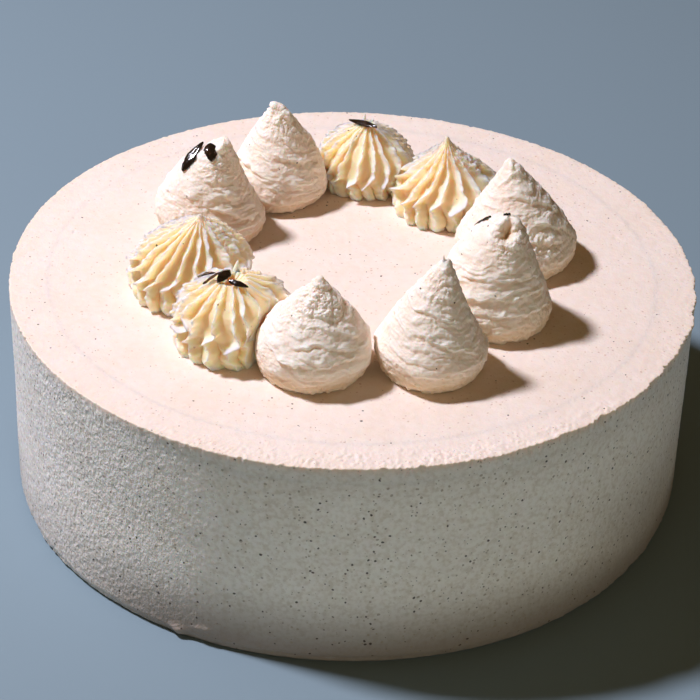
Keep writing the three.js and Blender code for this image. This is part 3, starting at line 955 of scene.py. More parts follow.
        # lips: share of the painted glow and painted shade along the edge; sides: share of the
        # wall's painted cast
        rows, lips, sides = [], [], []
        inner = self.join_radius - 3.5
        for inside in np.linspace(0.0, 1.0, 28) ** 0.8:
            r = inner + (edge - 0.35 - inner) * inside
            z = CAKE_HEIGHT + self.top_relief(r * np.cos(angle), r * np.sin(angle))
            z = z + self.rim_lumps(angle, edge - r)
            r = r + reach * inside**10
            rows.append((r, z - 0.05 * (1.0 - smooth(0.0, 0.27, np.full_like(angle, inside)))))
            lips.append(0.0 * angle + 0.35 * inside**14)
            sides.append(0.0 * angle)
        top_of_edge = rows[-1][1]
        for turn in np.linspace(0.3, 1.57, 6):
            r = edge + reach - 0.35 + 0.35 * math.sin(turn)
            z = top_of_edge - 0.35 + 0.35 * math.cos(turn)
            rows.append((r, z))
            lips.append(np.full_like(angle, 0.55))
            sides.append(np.full_like(angle, 0.2 + 0.3 * turn))
        under = rows[-1]
        for down in np.linspace(0.06, 1.0, 18):
            z = under[1] + (self.join_height - 0.5 - under[1]) * down**1.2
            wall = self.radius(angle, z) + self.wall_relief(angle, z)
            share = smooth(0.0, 0.75, np.full_like(angle, down))
            end = smooth(0.8, 1.0, np.full_like(angle, down))
            rows.append((under[0] * (1.0 - share) + wall * share - 0.02 * end, z))
            lips.append(0.6 * (1.0 - smooth(0.0, 0.6, np.full_like(angle, down))))
            sides.append(smooth(-0.6, 0.35, np.full_like(angle, down)))
        for r, z in ((96.0, 59.5), (83.0, 59.5), (83.0, 64.0), (inner - 0.3, 65.2)):
            rows.append((np.full_like(angle, r), np.full_like(angle, z)))
            lips.append(0.0 * angle)
            sides.append(0.0 * angle)
        r = np.array([row[0] for row in rows])
        z = np.array([row[1] for row in rows])
        rings = np.stack([r * np.cos(angle), r * np.sin(angle), z], axis=-1)
        lump = self.grain.fractal(rings.astype(np.float32) / 1.3, 3)
        lip = np.array(lips)
        push = 0.1 * lump * np.clip(lip * 1.6, 0, 1)
        rings[..., 0] += push * np.cos(angle)
        rings[..., 1] += push * np.sin(angle)
        rings[..., 2] += 0.6 * push
        values = {"lip": lip, "side": np.array(sides), **self.peel_and_painted_shade(angle[None, :], z)}
        return Surface.hoop(rings[::-1], {name: array[::-1] for name, array in values.items()})

    def build(self) -> None:
        """Makes the coat's three pieces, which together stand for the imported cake."""
        pieces = {
            "cake_top": self.top_piece(),
            "cake_wall": self.wall_piece(),
            "cake_rim": self.rim_piece(),
        }
        for name, surface in pieces.items():
            piece = surface.made(name, self.finish, Slot.COAT.value)
            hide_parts("cake")


# ------------------------------------------------------------------------------ dollops
@dataclass(frozen=True)
class Form:
    """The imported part's form of one dollop, in millimetres.

    The rows that fill it began as a scratch fit of each outline to the photo, rounded, and were
    then changed in places by hand.

    Attributes:
        x: Middle of the foot.
        y: Middle of the foot.
        height: Height above DOLLOP_BASE.
        lean_x: How far the tip leans.
        sway_x: How far the middle bows.
        sway_y: How far the middle bows.
        radius: Largest radius.
        foot: Radius at the foot, as a share of the largest.
        belly: Height of the widest ring.
        m: Inner power of the outline above the belly.
        n: Outer power of that outline.
        tip: Radius of the top.
        crater: Depth of the hollow in a flat top; 0 for a pointed one.
    """

    x: float
    y: float
    height: float
    lean_x: float
    sway_x: float
    sway_y: float
    radius: float
    foot: float
    belly: float
    m: float
    n: float
    tip: float
    crater: float = 0.0

    def outline(self, height: Array) -> Array:
        """Radius at a height above the foot.

        Below the belly it swells as the square root of a circle's quarter; above, it follows
        (1 - s^m)^n of the share s, and a pointed top ends in a small rounded cap.
        """
        rise = np.clip(height / self.belly, 0, 1)
        swell = self.foot + (1 - self.foot) * np.sqrt(1 - (1 - rise) ** 2)
        share = np.clip((height - self.belly) / (self.height - self.belly), 0, 1)
        opening = self.tip if self.crater > 0 else TIP_OPENING
        upper = opening + (self.radius - opening) * (1 - share**self.m) ** self.n
        if self.crater == 0:
            below = np.maximum(self.height - height, 0)
            cap = np.where(
                below < self.tip,
                np.sqrt(np.maximum(2 * self.tip * below - below**2, 0)),
                self.tip,
            )
            upper = np.maximum(upper, cap * bell(below, CAP_REACH * self.tip))
            upper = np.maximum(upper, SMALLEST_RADIUS)
        return np.where(height < self.belly, self.radius * swell, upper)

    def spine(self, share: Array) -> tuple[Array, Array]:
        """Middle at a share of the height: the lean grows with its square, the sway bows it."""
        bow = np.sin(math.pi * share)
        return (
            self.x + self.lean_x * share**2 + self.sway_x * bow,
            self.y + self.sway_y * bow,
        )

    def shares(self, rows: int) -> Array:
        """Shares of the height at which rings are equally far apart along the outline."""
        fine = np.linspace(0, 0.9995, 1500)
        radius = self.outline(fine * self.height)
        length = np.hypot(np.diff(radius), np.diff(fine * self.height))
        total = np.concatenate([[0], np.cumsum(length)])
        return np.interp(np.linspace(0, total[-1], rows), total, fine)


@dataclass(frozen=True)
class Fold:
    """A lap of cream that hangs over the layer below it, between two angles."""

    knots: tuple[tuple[float, float], ...]  # degrees, share of the height
    ledge: float = 0.8
    groove: float = 0.9
    reach: float = 2.6

    def push(
        self, angle: Array, height: Array, form: Form, wobble: Array, broken: Array
    ) -> Array:
        """How far the surface moves out along this fold.

        Above the fold's line the cream stands out by ledge, fading over reach; below it lies
        in by groove, fading over half of that.

        Args:
            angle: Angles of the surface's points.
            height: Their heights above the dollop's foot.
            form: The dollop's form.
            wobble: Noise that bends the fold's line.
            broken: Noise that makes the fold come and go along its length.

        Returns:
            The push in millimetres.
        """
        turns = np.radians([knot[0] for knot in self.knots])
        shares = [knot[1] for knot in self.knots]
        middle = float(turns.mean())
        aside = turned(angle, middle)
        line = np.interp(aside, turns - middle, shares) * form.height
        window = smooth(turns[0] - middle - 0.3, turns[0] - middle + 0.12, aside)
        window *= smooth(turns[-1] - middle + 0.3, turns[-1] - middle - 0.12, aside)
        window *= np.clip(0.7 + 1.1 * broken, 0.12, 1.15)
        above = height - line - 0.8 * wobble
        out = 0.8 * self.ledge * np.exp(-np.maximum(above, 0) / self.reach)
        into = -0.65 * self.groove * np.exp(-np.maximum(-above, 0) / (0.5 * self.reach))
        return window * (into + (out - into) * smooth(-0.42, 0.42, above))


@dataclass(frozen=True)
class Mark:
    """A place on a dollop: its angle in degrees, share of the height, size and strength."""

    angle: float
    share: float
    size: float
    strength: float

    def near(self, angle: Array, share: Array, radius: Array, form: Form) -> Array:
        """Bell over the surface around the place, size millimetres wide."""
        aside = turned(angle, math.radians(self.angle)) * np.maximum(radius, 1.0)
        along = (share - self.share) * form.height * 1.15
        return bell(np.hypot(aside, along), self.size)


class Neighbours:
    """The flat sides where each dollop presses against the ones beside it."""

    def __init__(self, forms: dict[str, Form]) -> None:
        """Works out each dollop's sides as directions and distances."""
        self.sides: dict[str, list[tuple[float, float, float]]] = {name: [] for name in forms}
        for first, second, share in CONTACTS:
            for name, other, part in ((first, second, share), (second, first, 1 - share)):
                dx = forms[other].x - forms[name].x
                dy = forms[other].y - forms[name].y
                away = math.hypot(dx, dy)
                limit = away * part + CONTACT_LAP
                self.sides[name].append((dx / away, dy / away, limit))

    def pressed(self, name: str, form: Form, points: Array) -> Array:
        """Points moved back softly behind the flat sides, by an exponential approach."""
        held = points.copy()
        for nx, ny, limit in self.sides[name]:
            reach = (held[..., 0] - form.x) * nx + (held[..., 1] - form.y) * ny
            start = limit - PRESS_SOFTNESS
            kept = limit - PRESS_SOFTNESS * np.exp(-np.maximum(reach - start, 0) / PRESS_SOFTNESS)
            back = np.where(reach > start, kept - reach, 0.0)
            held[..., 0] += back * nx
            held[..., 1] += back * ny
        return held


@dataclass
class Cone:
    """A plain piped cone: streaked, crumbly layers with laps hanging over each other."""

    name: str
    form: Form
    seed: int
    tilt: float
    tilt_angle: float
    folds: tuple[Fold, ...] = ()
    lumps: tuple[Mark, ...] = ()
    crumbly: tuple[Mark, ...] = ()
    spikes: tuple[tuple, ...] = ()
    layer: float = 3.3
    columns: int = 330
    rows: int = 190

    def layers(self, height: Array, around: Array, spacing: float, fade: float) -> Array:
        """Overlapping layers: a saw tooth of the warped height.

        Each layer stands out most at its lower edge, drops back sharply under it, and comes and
        goes round the cone by noise that differs from layer to layer.

        Args:
            height: Height with the layers' tilt and warp already in it.
            around: Unit points round the cone times its radius.
            spacing: Height of a layer.
            fade: How much of the way round the layers are missing, 0 to 1.

        Returns:
            A push of 0 to 1.
        """
        step = height / spacing
        which = np.floor(step)
        part = step - which
        place = stacked(around[..., 0] / 5.5, around[..., 1] / 5.5, which * 5.37)
        strength = np.clip(1.0 - fade + 1.3 * self.grain.at(place), 0, 1.2)
        return strength * smooth(0.0, 0.3, part) * (1 - part) ** 0.85

    def relief(self, share: Array, angle: Array, local: Array) -> Array:
        """How far the surface stands out from the plain form.

        Three sizes of layers, streaks drawn out round the cone, crumbs of rounded lumps where
        the marks ask for them, the folds, and single lumps.
        """
        grain, form = self.grain, self.form
        height = share * form.height
        radius = np.hypot(local[..., 0], local[..., 1])
        warp = 1.25 * grain.fractal(local / 9.0, 2) + 0.4 * grain.at(local / 2.8 + 4.0)
        slant = 2.0 * self.tilt * np.cos(angle - self.tilt_angle)
        level = height - slant * np.sin(math.pi * share) + warp
        calm = smooth(0.0, 0.07, share)
        small = np.clip(radius / 4.0 + 0.15, 0, 1)
        broad = 0.55 * self.layers(level, local, self.layer, 0.5)
        middle = 0.22 * self.layers(level + 0.7 * warp + 3.0, local, self.layer * 0.41, 0.45)
        drawn = local * np.array((0.4, 0.4, 1.0), np.float32)
        streaks = 0.1 * grain.fractal(drawn / 0.95, 3) + 0.13 * grain.at(drawn / 2.2 + 3.0)
        streaks = streaks + 0.1 * grain.fractal(local / 1.3 + 6.0, 2)
        patch = np.zeros_like(share)
        for mark in self.crumbly:
            patch += mark.strength * mark.near(angle, share, radius, form)
        patch = np.clip(patch + 0.18 + 0.22 * grain.at(local / 6.0 + 8.0), 0, 1.3)
        crumbs = 0.75 * patch * (grain.billow(local / 1.9 + 2.0, 3) - 0.3)
        push = calm * small * (broad + middle) + (0.4 + 0.6 * calm) * streaks + calm * crumbs
        wobble = grain.at(local / 2.3 + 6.0)
        broken = grain.at(local / 3.8 + 9.0)
        for fold in self.folds:
            push += small * fold.push(angle, height, form, wobble, broken)
        push += 0.55 * (1 - smooth(0.01, 0.09, share)) * grain.fractal(local / 1.7 + 5.0, 2)
        push += 0.16 * (1 - smooth(0.12, 0.4, share)) * grain.fractal(local / 0.95 + 2.0, 3)
        for mark in self.lumps:
            push += mark.strength * mark.near(angle, share, radius, form)
        return push

    def build(self, neighbours: Neighbours, finish: bpy.types.Material) -> None:
        """Makes the cone's piece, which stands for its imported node."""
        self.grain = Grain(self.seed)
        form = self.form
        angle, share = np.meshgrid(
            TAU * np.arange(self.columns) / self.columns, form.shares(self.rows)
        )
        slow = 0.018 * (np.sin(2 * angle + form.x) + 0.7 * np.sin(3 * angle + 5 * share))
        radius = form.outline(share * form.height) * (1 + slow)
        middle_x, middle_y = form.spine(share)
        tilt = self.tilt * np.cos(angle - self.tilt_angle) * np.sin(math.pi * share)
        grid = np.stack(
            [
                middle_x + radius * np.cos(angle),
                middle_y + radius * np.sin(angle),
                DOLLOP_BASE + share * form.height + tilt,
            ],
            axis=-1,
        )
        local = stacked(
            grid[..., 0] - form.x, grid[..., 1] - form.y, grid[..., 2] - DOLLOP_BASE + self.seed
        )
        push = self.relief(share, angle, local)
        rings = grid + outward(grid) * push[..., None]
        rings[..., 2] -= 0.5 * np.exp(-share / 0.02)
        rings[..., 2] = np.maximum(rings[..., 2], CAKE_HEIGHT - 0.3)
        rings = neighbours.pressed(self.name, form, rings)
        top = rings[-1].mean(axis=0) + np.array((0, 0, 0.1))
        bottom = np.array((form.x, form.y, CAKE_HEIGHT - 0.3))
        # painted shade: highest where the surface lies in, in the creases, and over the tucked-in
        # foot
        hollow = np.clip(0.26 - 0.5 * push, 0, 1) * smooth(0.0, 0.1, share)
        hollow += 0.7 * (1 - smooth(0.04, 0.26, share))
        body = Surface.lathed(rings, bottom, top, {"hollow": np.clip(hollow, 0, 1)})
        peaks = [spike(*values) for values in self.spikes]
        surface = Surface.joined([body, *peaks])
        piece = surface.made(self.name + "_cream", finish, Slot.CONE.value)
        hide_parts(self.name)


@dataclass
class Star:
    """A ribbed dollop: thin sharp ribs that run down, jog sideways and flare over a lower tier."""

    name: str
    form: Form
    seed: int
    fins: int
    depth: float
    turn: float
    kink: float
    kink_shift: float
    uneven: float
    uneven_angle: float
    waver: float = 0.17
    crumbly: tuple[Mark, ...] = ()
    lumps: tuple[Mark, ...] = ()
    spikes: tuple[tuple, ...] = ()
    fin_columns: int = 28
    rows: int = 128
    top_rows: int = 14

    def fin_values(self, table: Array, before: Array, after: Array, share: Array) -> Array:
        """A value between the two ribs on either side, blended by share."""
        return table[before] * (1 - share) + table[after] * share

    def build(self, neighbours: Neighbours, finish: bpy.types.Material) -> None:
        """Makes the star's piece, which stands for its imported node.

        Round the star, nearness to a rib runs from 0 in the middle of a groove to 1 on the
        rib. The radius is the outline minus the depth times one minus a blend of a round flute,
        1 - (1 - nearness^2.8)^0.6, and a thin blade on the rib. At the kink the ribs jog
        sideways, flare out and hang over the lower tier, whose ribs are rounder.
        """
        grain = Grain(self.seed)
        form = self.form
        draw = np.random.default_rng(self.seed)
        columns = self.fins * self.fin_columns
        pitch = TAU / self.fins
        angle, share = np.meshgrid(TAU * np.arange(columns) / columns, form.shares(self.rows))
        position = angle / pitch
        before = np.floor(position).astype(int) % self.fins
        after = (before + 1) % self.fins
        across = position - np.floor(position)
        blend = across * across * (3 - 2 * across)

        kinks = self.kink + draw.normal(0, 0.03, self.fins)
        shifts = self.kink_shift * (1 + draw.normal(0, 0.3, self.fins))
        rises = draw.normal(0, 0.3, self.fins)
        drifts = draw.normal(0, 0.09, self.fins)
        kink = self.fin_values(kinks, before, after, blend)
        shift = self.fin_values(shifts, before, after, blend)
        rise = self.fin_values(rises, before, after, blend)
        drift = self.fin_values(drifts, before, after, blend)

        def along(size: float, offset: float) -> Array:
            """Noise that runs along each rib and is its own for every rib."""
            arc = share * form.height
            first = grain.fractal(stacked(before * 7.31, arc / size, offset), 2)
            second = grain.fractal(stacked(after * 7.31, arc / size, offset), 2)
            return first * (1 - blend) + second * blend

        near = np.abs(1 - 2 * across)
        lower = smooth(kink - 0.02, kink - 0.12, share)
        flute = 1 - (1 - near**2.8) ** 0.6
        blade = 0.55 * flute + 0.45 * np.exp(-(((1 - near) / 0.2) ** 2))
        blade = blade * (1 - 0.85 * lower) + 0.85 * lower * np.sqrt(near * (2 - near))
        nominal = form.outline(share * form.height)
        hook = smooth(kink + 0.07, kink - 0.03, share) * smooth(-0.12, kink - 0.02, share)
        jog = shift * pitch * (0.5 * bell(share - kink, JOG_SPREAD) + 1.15 * hook)
        wander = pitch * (drift + 1.5 * self.waver * along(4.6, 3.0) * smooth(1.0, 0.8, share))
        turn_all = self.uneven * np.sin(angle - self.uneven_angle) + self.turn * share
        serrate = near**6 * smooth(1.0, 0.93, share) * smooth(0.0, 0.2, share)
        teeth = along(1.25, 11.0) + 0.5 * along(0.6, 17.0)
        heading = angle + jog + wander + turn_all
        heading += serrate * 0.5 * along(1.3, 23.0) / np.maximum(nominal, 3.0)
        skirt = 0.035 * bell(share - kink - 0.03, 0.08) - 0.06 * bell(share - kink + 0.12, 0.07)
        cut = np.minimum(self.depth, nominal * FIN_LARGEST_CUT) * (1 - blade)
        cut *= 0.9 - 0.15 * lower
        flare = near**1.6 * bell(share - kink, 0.06)
        edge = serrate * (0.6 * teeth + 0.1) + rise * near**2 * smooth(1.0, 0.8, share)
        radius = nominal * (1 + skirt) - cut + edge + 0.4 * flare

        rough = np.zeros_like(share)
        for mark in self.crumbly:
            rough += mark.strength * mark.near(angle, share, nominal, form)
        rough = np.clip(rough, 0, 1)
        radius += rough * 0.75 * cut

        middle_x, middle_y = form.spine(share)
        drop = 0.6 * flare + 0.35 * lower * near * along(2.0, 31.0)
        grid = np.stack(
            [
                middle_x + radius * np.cos(heading),
                middle_y + radius * np.sin(heading),
                DOLLOP_BASE + share * form.height - drop,
            ],
            axis=-1,
        )
        if form.crater > 0:
            grid, near, rough, share = self._with_hollow_top(grid, near, rough, share, blade)
        local = stacked(grid[..., 0] - form.x, grid[..., 1] - form.y, grid[..., 2] + self.seed)
        satin = 0.05 * grain.fractal(local / 2.0, 2)
        frill = 0.35 * smooth(0.3, 0.1, share) * grain.fractal(local / 2.4 + 3.0, 2)
        crumbs = rough * 0.95 * (grain.billow(local / 1.9, 3) - 0.35)
        push = satin + frill + crumbs
        reach = np.hypot(local[..., 0], local[..., 1])
        for mark in self.lumps:
            push = push + mark.strength * mark.near(
                np.arctan2(local[..., 1], local[..., 0]), share, reach, form
            )
        rings = grid + outward(grid) * push[..., None]
        rings[..., 2] -= 0.5 * np.exp(-share / 0.02)
        rings[..., 2] = np.maximum(rings[..., 2], CAKE_HEIGHT - 0.3)
        rings = neighbours.pressed(self.name, form, rings)
        top = rings[-1].mean(axis=0)
        bottom = np.array((form.x, form.y, CAKE_HEIGHT - 0.3))
        # ridge: the painted highlight along the ribs, paler too near the foot; it also sets the
        # roughness
        ridge = np.clip(1.15 * near**2.4 + 0.4 * smooth(0.1, 0.0, share), 0, 1)
        values = {"ridge": ridge, "hollow": rough}
        body = Surface.lathed(rings, bottom, top, values)
        peaks = [spike(*values) for values in self.spikes]
        surface = Surface.joined([body, *peaks])
        piece = surface.made(self.name + "_cream", finish, Slot.STAR.value)
        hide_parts(self.name)

    def _with_hollow_top(
        self, grid: Array, near: Array, rough: Array, share: Array, blade: Array
    ) -> tuple[Array, Array, Array, Array]:
        """Adds rings that go in from the upper edge and down into a shallow bowl.

        Each ring is the last one shrunk towards the middle by (1 - s), lowered by
        crater (1 - (1 - s) squared), with the ribs fading inwards.
        """
        form = self.form
        last = grid[-1]
        middle = last.mean(axis=0)
        inward = np.linspace(0, 1, self.top_rows + 1)[1:-1, None, None]
        extra = middle + (last - middle) * (1 - inward)
        extra[..., 2] -= form.crater * (1 - (1 - inward[..., 0]) ** 2)
        extra[..., 2] += 0.5 * blade[-1] * bell(inward[..., 0] - 0.1, 0.25)
        count = len(extra)

        def longer(values: Array, fill: Array | float) -> Array:
            """Values carried on over the new rings."""
            more = np.broadcast_to(fill, (count, values.shape[1]))
            return np.concatenate([values, more])

        fading = near[-1] * (1 - inward[..., 0])
        return (
            np.concatenate([grid, extra]),
            longer(near, fading),
            longer(rough, rough[-1]),
            longer(share, 1.0),
        )


@dataclass
class Shard:
    """A thin pointed shard, bowed along its length, with a slightly ragged edge."""

    name: str
    start: tuple[float, float, float]
    end: tuple[float, float, float]
    face: tuple[float, float, float]
    width: float
    bow: float
    seed: int
    warm: bool = False
    thickness: float = 0.6
    steps_long: int = 40
    steps_wide: int = 16

    def build(self, finish: bpy.types.Material) -> None:
        """Makes the shard's piece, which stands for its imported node.

        Rings run round the cross-section: its half width follows sin(pi u^0.8)^0.8 along the
        length, its thickness falls towards the edges as 1 - 0.45 v squared, and the middle
        bows out as sin(pi u).
        """
        grain = Grain(self.seed)
        start, end = np.array(self.start), np.array(self.end)
        along = (end - start) / np.linalg.norm(end - start)
        side = np.cross(np.array(self.face, float), along)
        side /= np.linalg.norm(side)
        out = np.cross(along, side)
        u = np.linspace(0.0, 1.0, self.steps_long)[:, None]
        half_steps = np.linspace(-1.0, 1.0, self.steps_wide + 1)
        v = np.concatenate([half_steps, half_steps[-2:0:-1]])[None, :]
        face = np.concatenate([np.ones(self.steps_wide + 1), -np.ones(self.steps_wide - 1)])
        swell = np.sin(math.pi * u**0.8) ** 0.8
        half = 0.5 * self.width * (0.1 + 0.9 * swell)
        ragged = 0.14 * grain.fractal(stacked(u * 7.0, np.sign(v) * 3.0, 0.5), 3)
        half = half * (1 + ragged * np.abs(v) ** 3)
        curl = self.bow * np.sin(math.pi * u) + 0.16 * half * (1 - v * v)
        curl = curl + 0.2 * grain.at(stacked(u * 3.0, v * 1.4, 2.0))
        rim = np.sqrt(np.clip(1 - v**2, 0.0, 1.0)) ** 0.5
        thin = 0.5 * self.thickness * (1 - 0.45 * v * v) * rim * face[None, :]
        middle = start + (end - start) * u[..., None]
        rings = middle + (v * half)[..., None] * side + (curl + thin)[..., None] * out
        first, last = rings[0].mean(axis=0), rings[-1].mean(axis=0)
        surface = Surface.lathed(rings, first, last, {})
        piece = surface.made(self.name + "_piece", finish, Slot.SHARD.value)
        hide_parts(self.name)


# ------------------------------------------------------------------------------ the ring on top
@dataclass
class DollopRing:
    """The ten dollops and the shards that lie on them."""

    cones: list[Cone] = field(default_factory=list)
    stars: list[Star] = field(default_factory=list)
    shards: list[Shard] = field(default_factory=list)

    def __post_init__(self) -> None:
        """Lays out the ring."""
        self.cones = self._cones()
        self.stars = self._stars()
        self.shards = self._shards()

    @staticmethod
    def _cones() -> list[Cone]:
        """The six plain cones."""
        return [
            Cone(
                "cone_1",
                Form(-42.3, 21.3, 30.2, 3.5, -2.4, 0.0, 15.9, 0.82, 6.7, 1.17, 0.84, 1.7),
                seed=101,
                tilt=-1.1,
                tilt_angle=0.0,
                folds=(
                    Fold(((-176, 0.5), (-150, 0.47), (-131, 0.43)), 0.6, 0.6, 2.0),
                    Fold(((-124, 0.52), (-96, 0.47), (-67, 0.41), (-28, 0.27)), 1.1, 1.1, 3.0),
                    Fold(((-121, 0.7), (-88, 0.66), (-44, 0.48)), 0.5, 0.4, 1.8),
                    Fold(((20, 0.3), (80, 0.36), (150, 0.44)), 0.8, 0.8, 2.6),
                ),
                lumps=(
                    Mark(-87, 0.951, 1.3, 0.8),
                    Mark(-91, 0.9, 1.4, 0.8),
                    Mark(-20, 0.99, 1.2, 0.5),
                ),
                crumbly=(Mark(-80, 0.86, 4.5, 0.9), Mark(-120, 0.3, 5.0, 0.5)),
            ),
            Cone(
                "cone_2",
                Form(-24.8, 44.0, 30.6, 1.0, 1.6, 0.0, 15.5, 0.77, 4.8, 1.32, 0.91, 2.2),
                seed=102,
                tilt=-1.4,
                tilt_angle=0.2,
                folds=(
                    Fold(((-160, 0.4), (-132, 0.41), (-109, 0.34), (-86, 0.28), (-60, 0.27))),
                    Fold(((-112, 0.53), (-96, 0.54), (-78, 0.54)), 0.5, 0.7, 1.4),
                    Fold(((-84, 0.72), (-73, 0.66), (-62, 0.63)), 0.7, 0.9, 1.6),
                    Fold(((30, 0.5), (90, 0.42), (150, 0.4)), 0.8, 0.8, 2.4),
                ),
                lumps=(
                    Mark(-154, 0.97, 1.1, 1.1),
                    Mark(-40, 0.93, 1.3, 0.9),
                    Mark(-100, 0.86, 1.4, 0.7),
                ),
                crumbly=(Mark(-85, 0.86, 5.0, 1.1), Mark(-150, 0.2, 4.0, 0.6)),
            ),
            Cone(
                "cone_3",
                Form(48.2, 10.2, 32.0, -3.4, -0.3, 0.0, 18.0, 0.82, 5.3, 1.19, 1.01, 1.2),
                seed=103,
                tilt=0.9,
                tilt_angle=0.0,
                folds=(
                    Fold(((-110, 0.38), (-73, 0.37), (-59, 0.34), (-42, 0.31)), 1.0, 1.0, 2.4),
                    Fold(((-78, 0.71), (-37, 0.63), (-9, 0.5)), 0.6, 0.6, 2.4),
                    Fold(((-60, 0.5), (-30, 0.4), (10, 0.33)), 0.6, 0.7, 2.2),
                    Fold(((60, 0.42), (110, 0.5), (160, 0.45)), 0.8, 0.8, 2.6),
                ),
                lumps=(Mark(-90, 0.95, 1.2, 0.8), Mark(-48, 0.92, 1.2, 0.6)),
                crumbly=(Mark(-62, 0.3, 6.5, 1.0), Mark(-80, 0.9, 3.0, 0.6)),
            ),
            Cone(
                "cone_4",
                Form(41.2, -24.2, 32.5, 1.2, -2.6, 0.4, 16.3, 0.81, 5.8, 1.15, 0.58, 1.8),
                seed=104,
                tilt=0.6,
                tilt_angle=0.1,
                folds=(
                    Fold(((-125, 0.56), (-92, 0.57), (-65, 0.55), (-30, 0.5)), 0.8, 0.8, 2.4),
                    Fold(((-130, 0.38), (-92, 0.41), (-63, 0.4), (-20, 0.37)), 0.8, 0.8, 2.2),
                    Fold(((-120, 0.29), (-83, 0.27), (-49, 0.25), (-10, 0.22)), 0.8, 0.8, 2.0),
                    Fold(((50, 0.4), (100, 0.46), (160, 0.42)), 0.8, 0.8, 2.6),
                ),
                lumps=(
                    Mark(-76, 0.945, 1.7, -2.4),
                    Mark(-84, 0.9, 1.5, -1.5),
                    Mark(-96, 0.999, 1.2, 1.1),
                    Mark(-27, 0.97, 1.3, 1.0),
                    Mark(-120, 0.93, 1.6, 0.9),
                    Mark(-60, 0.84, 1.5, 0.8),
                ),
                crumbly=(Mark(-88, 0.868, 3.5, 1.2), Mark(-51, 0.86, 3.5, 1.0)),
            ),
            Cone(
                "cone_5",
                Form(22.0, -51.5, 34.3, 3.1, -0.2, -0.3, 15.3, 0.77, 8.0, 1.0, 0.92, 1.2),
                seed=105,
                tilt=-0.9,
                tilt_angle=0.0,
                folds=(
                    Fold(((-115, 0.47), (-96, 0.45), (-60, 0.38), (-30, 0.3)), 0.7, 0.6, 2.4),
                    Fold(((-144, 0.62), (-104, 0.63), (-57, 0.57)), 0.4, 0.4, 1.8),
                    Fold(((40, 0.45), (90, 0.5), (150, 0.4)), 0.7, 0.7, 2.6),
                ),
                lumps=(Mark(-92, 0.93, 1.2, 0.5), Mark(-60, 0.87, 1.2, 0.5)),
                crumbly=(Mark(-92, 0.81, 4.0, 0.8),),
                spikes=(((25.0, -51.7, 98.6), (24.2, -51.6, 101.9), 0.75, 0.35),),
                layer=2.9,
            ),
            Cone(
                "cone_6",
                Form(-10.6, -53.1, 28.8, 2.0, 1.0, -0.3, 15.7, 0.82, 7.3, 1.63, 1.29, 1.1),
                seed=106,
                tilt=-0.8,
                tilt_angle=0.3,
                folds=(
                    Fold(((-140, 0.42), (-108, 0.48), (-79, 0.48), (-45, 0.44)), 0.7, 0.7, 2.2),
                    Fold(((-119, 0.32), (-95, 0.3), (-71, 0.33), (-45, 0.36)), 0.9, 0.9, 2.0),
                    Fold(((-165, 0.37), (-140, 0.36), (-122, 0.31)), 0.9, 0.9, 2.2),
                    Fold(((40, 0.4), (100, 0.46), (160, 0.42)), 0.8, 0.8, 2.6),
                ),
                lumps=(Mark(-110, 0.8, 1.8, 0.8), Mark(-75, 0.74, 1.6, 0.6)),
                crumbly=(
                    Mark(-93, 0.835, 5.0, 1.1),
                    Mark(-132, 0.724, 4.0, 0.8),
                    Mark(-50, 0.787, 4.0, 0.7),
                ),
            ),
        ]

    @staticmethod
    def _stars() -> list[Star]:
        """The four ribbed stars."""
        return [
            Star(
                "star_1",
                Form(3.5, 53.5, 20.0, -0.1, -0.7, 0.0, 15.5, 0.86, 5.3, 2.48, 1.13, 2.6, 1.2),
                seed=201,
                fins=18,
                depth=3.4,
                turn=0.12,
                kink=0.30,
                kink_shift=-0.34,
                uneven=0.04,
                uneven_angle=0.5,
                spikes=(
                    ((2.2, 56.0, 84.0), (2.6, 56.6, 87.6), 1.0, 0.1),
                    ((3.8, 55.0, 84.0), (5.2, 55.6, 86.4), 0.9, 0.1),
                ),
            ),
            Star(
                "star_2",
                Form(27.5, 37.0, 24.6, -0.2, 0.9, 0.0, 16.9, 0.88, 7.0, 1.74, 1.81, 0.7),
                seed=202,
                fins=16,
                depth=4.0,
                turn=0.05,
                kink=0.34,
                kink_shift=-0.42,
                uneven=0.05,
                uneven_angle=-0.8,
                crumbly=(Mark(-20, 0.72, 4.5, 0.8), Mark(30, 0.6, 6.0, 0.7)),
            ),
            Star(
                "star_3",
                Form(-33.0, -41.5, 20.2, 0.2, 0.5, 0.2, 16.9, 0.90, 7.0, 3.19, 1.13, 5.5, 1.6),
                seed=203,
                fins=18,
                depth=3.8,
                turn=-0.1,
                kink=0.42,
                kink_shift=-0.40,
                uneven=0.06,
                uneven_angle=0.4,
                waver=0.3,
                spikes=(((-32.0, -36.5, 84.5), (-31.4, -36.2, 89.2), 1.3, 0.15),),
            ),
            Star(
                "star_4",
                Form(-46.8, -14.2, 24.2, 3.4, 0.0, 0.2, 17.8, 0.90, 5.2, 2.62, 1.34, 0.7),
                seed=204,
                fins=18,
                depth=3.8,
                turn=0.2,
                kink=0.36,
                kink_shift=-0.44,
                uneven=0.16,
                uneven_angle=0.6,
                crumbly=(Mark(10, 0.75, 7.0, 0.9), Mark(-35, 0.6, 4.0, 0.5)),
            ),
        ]

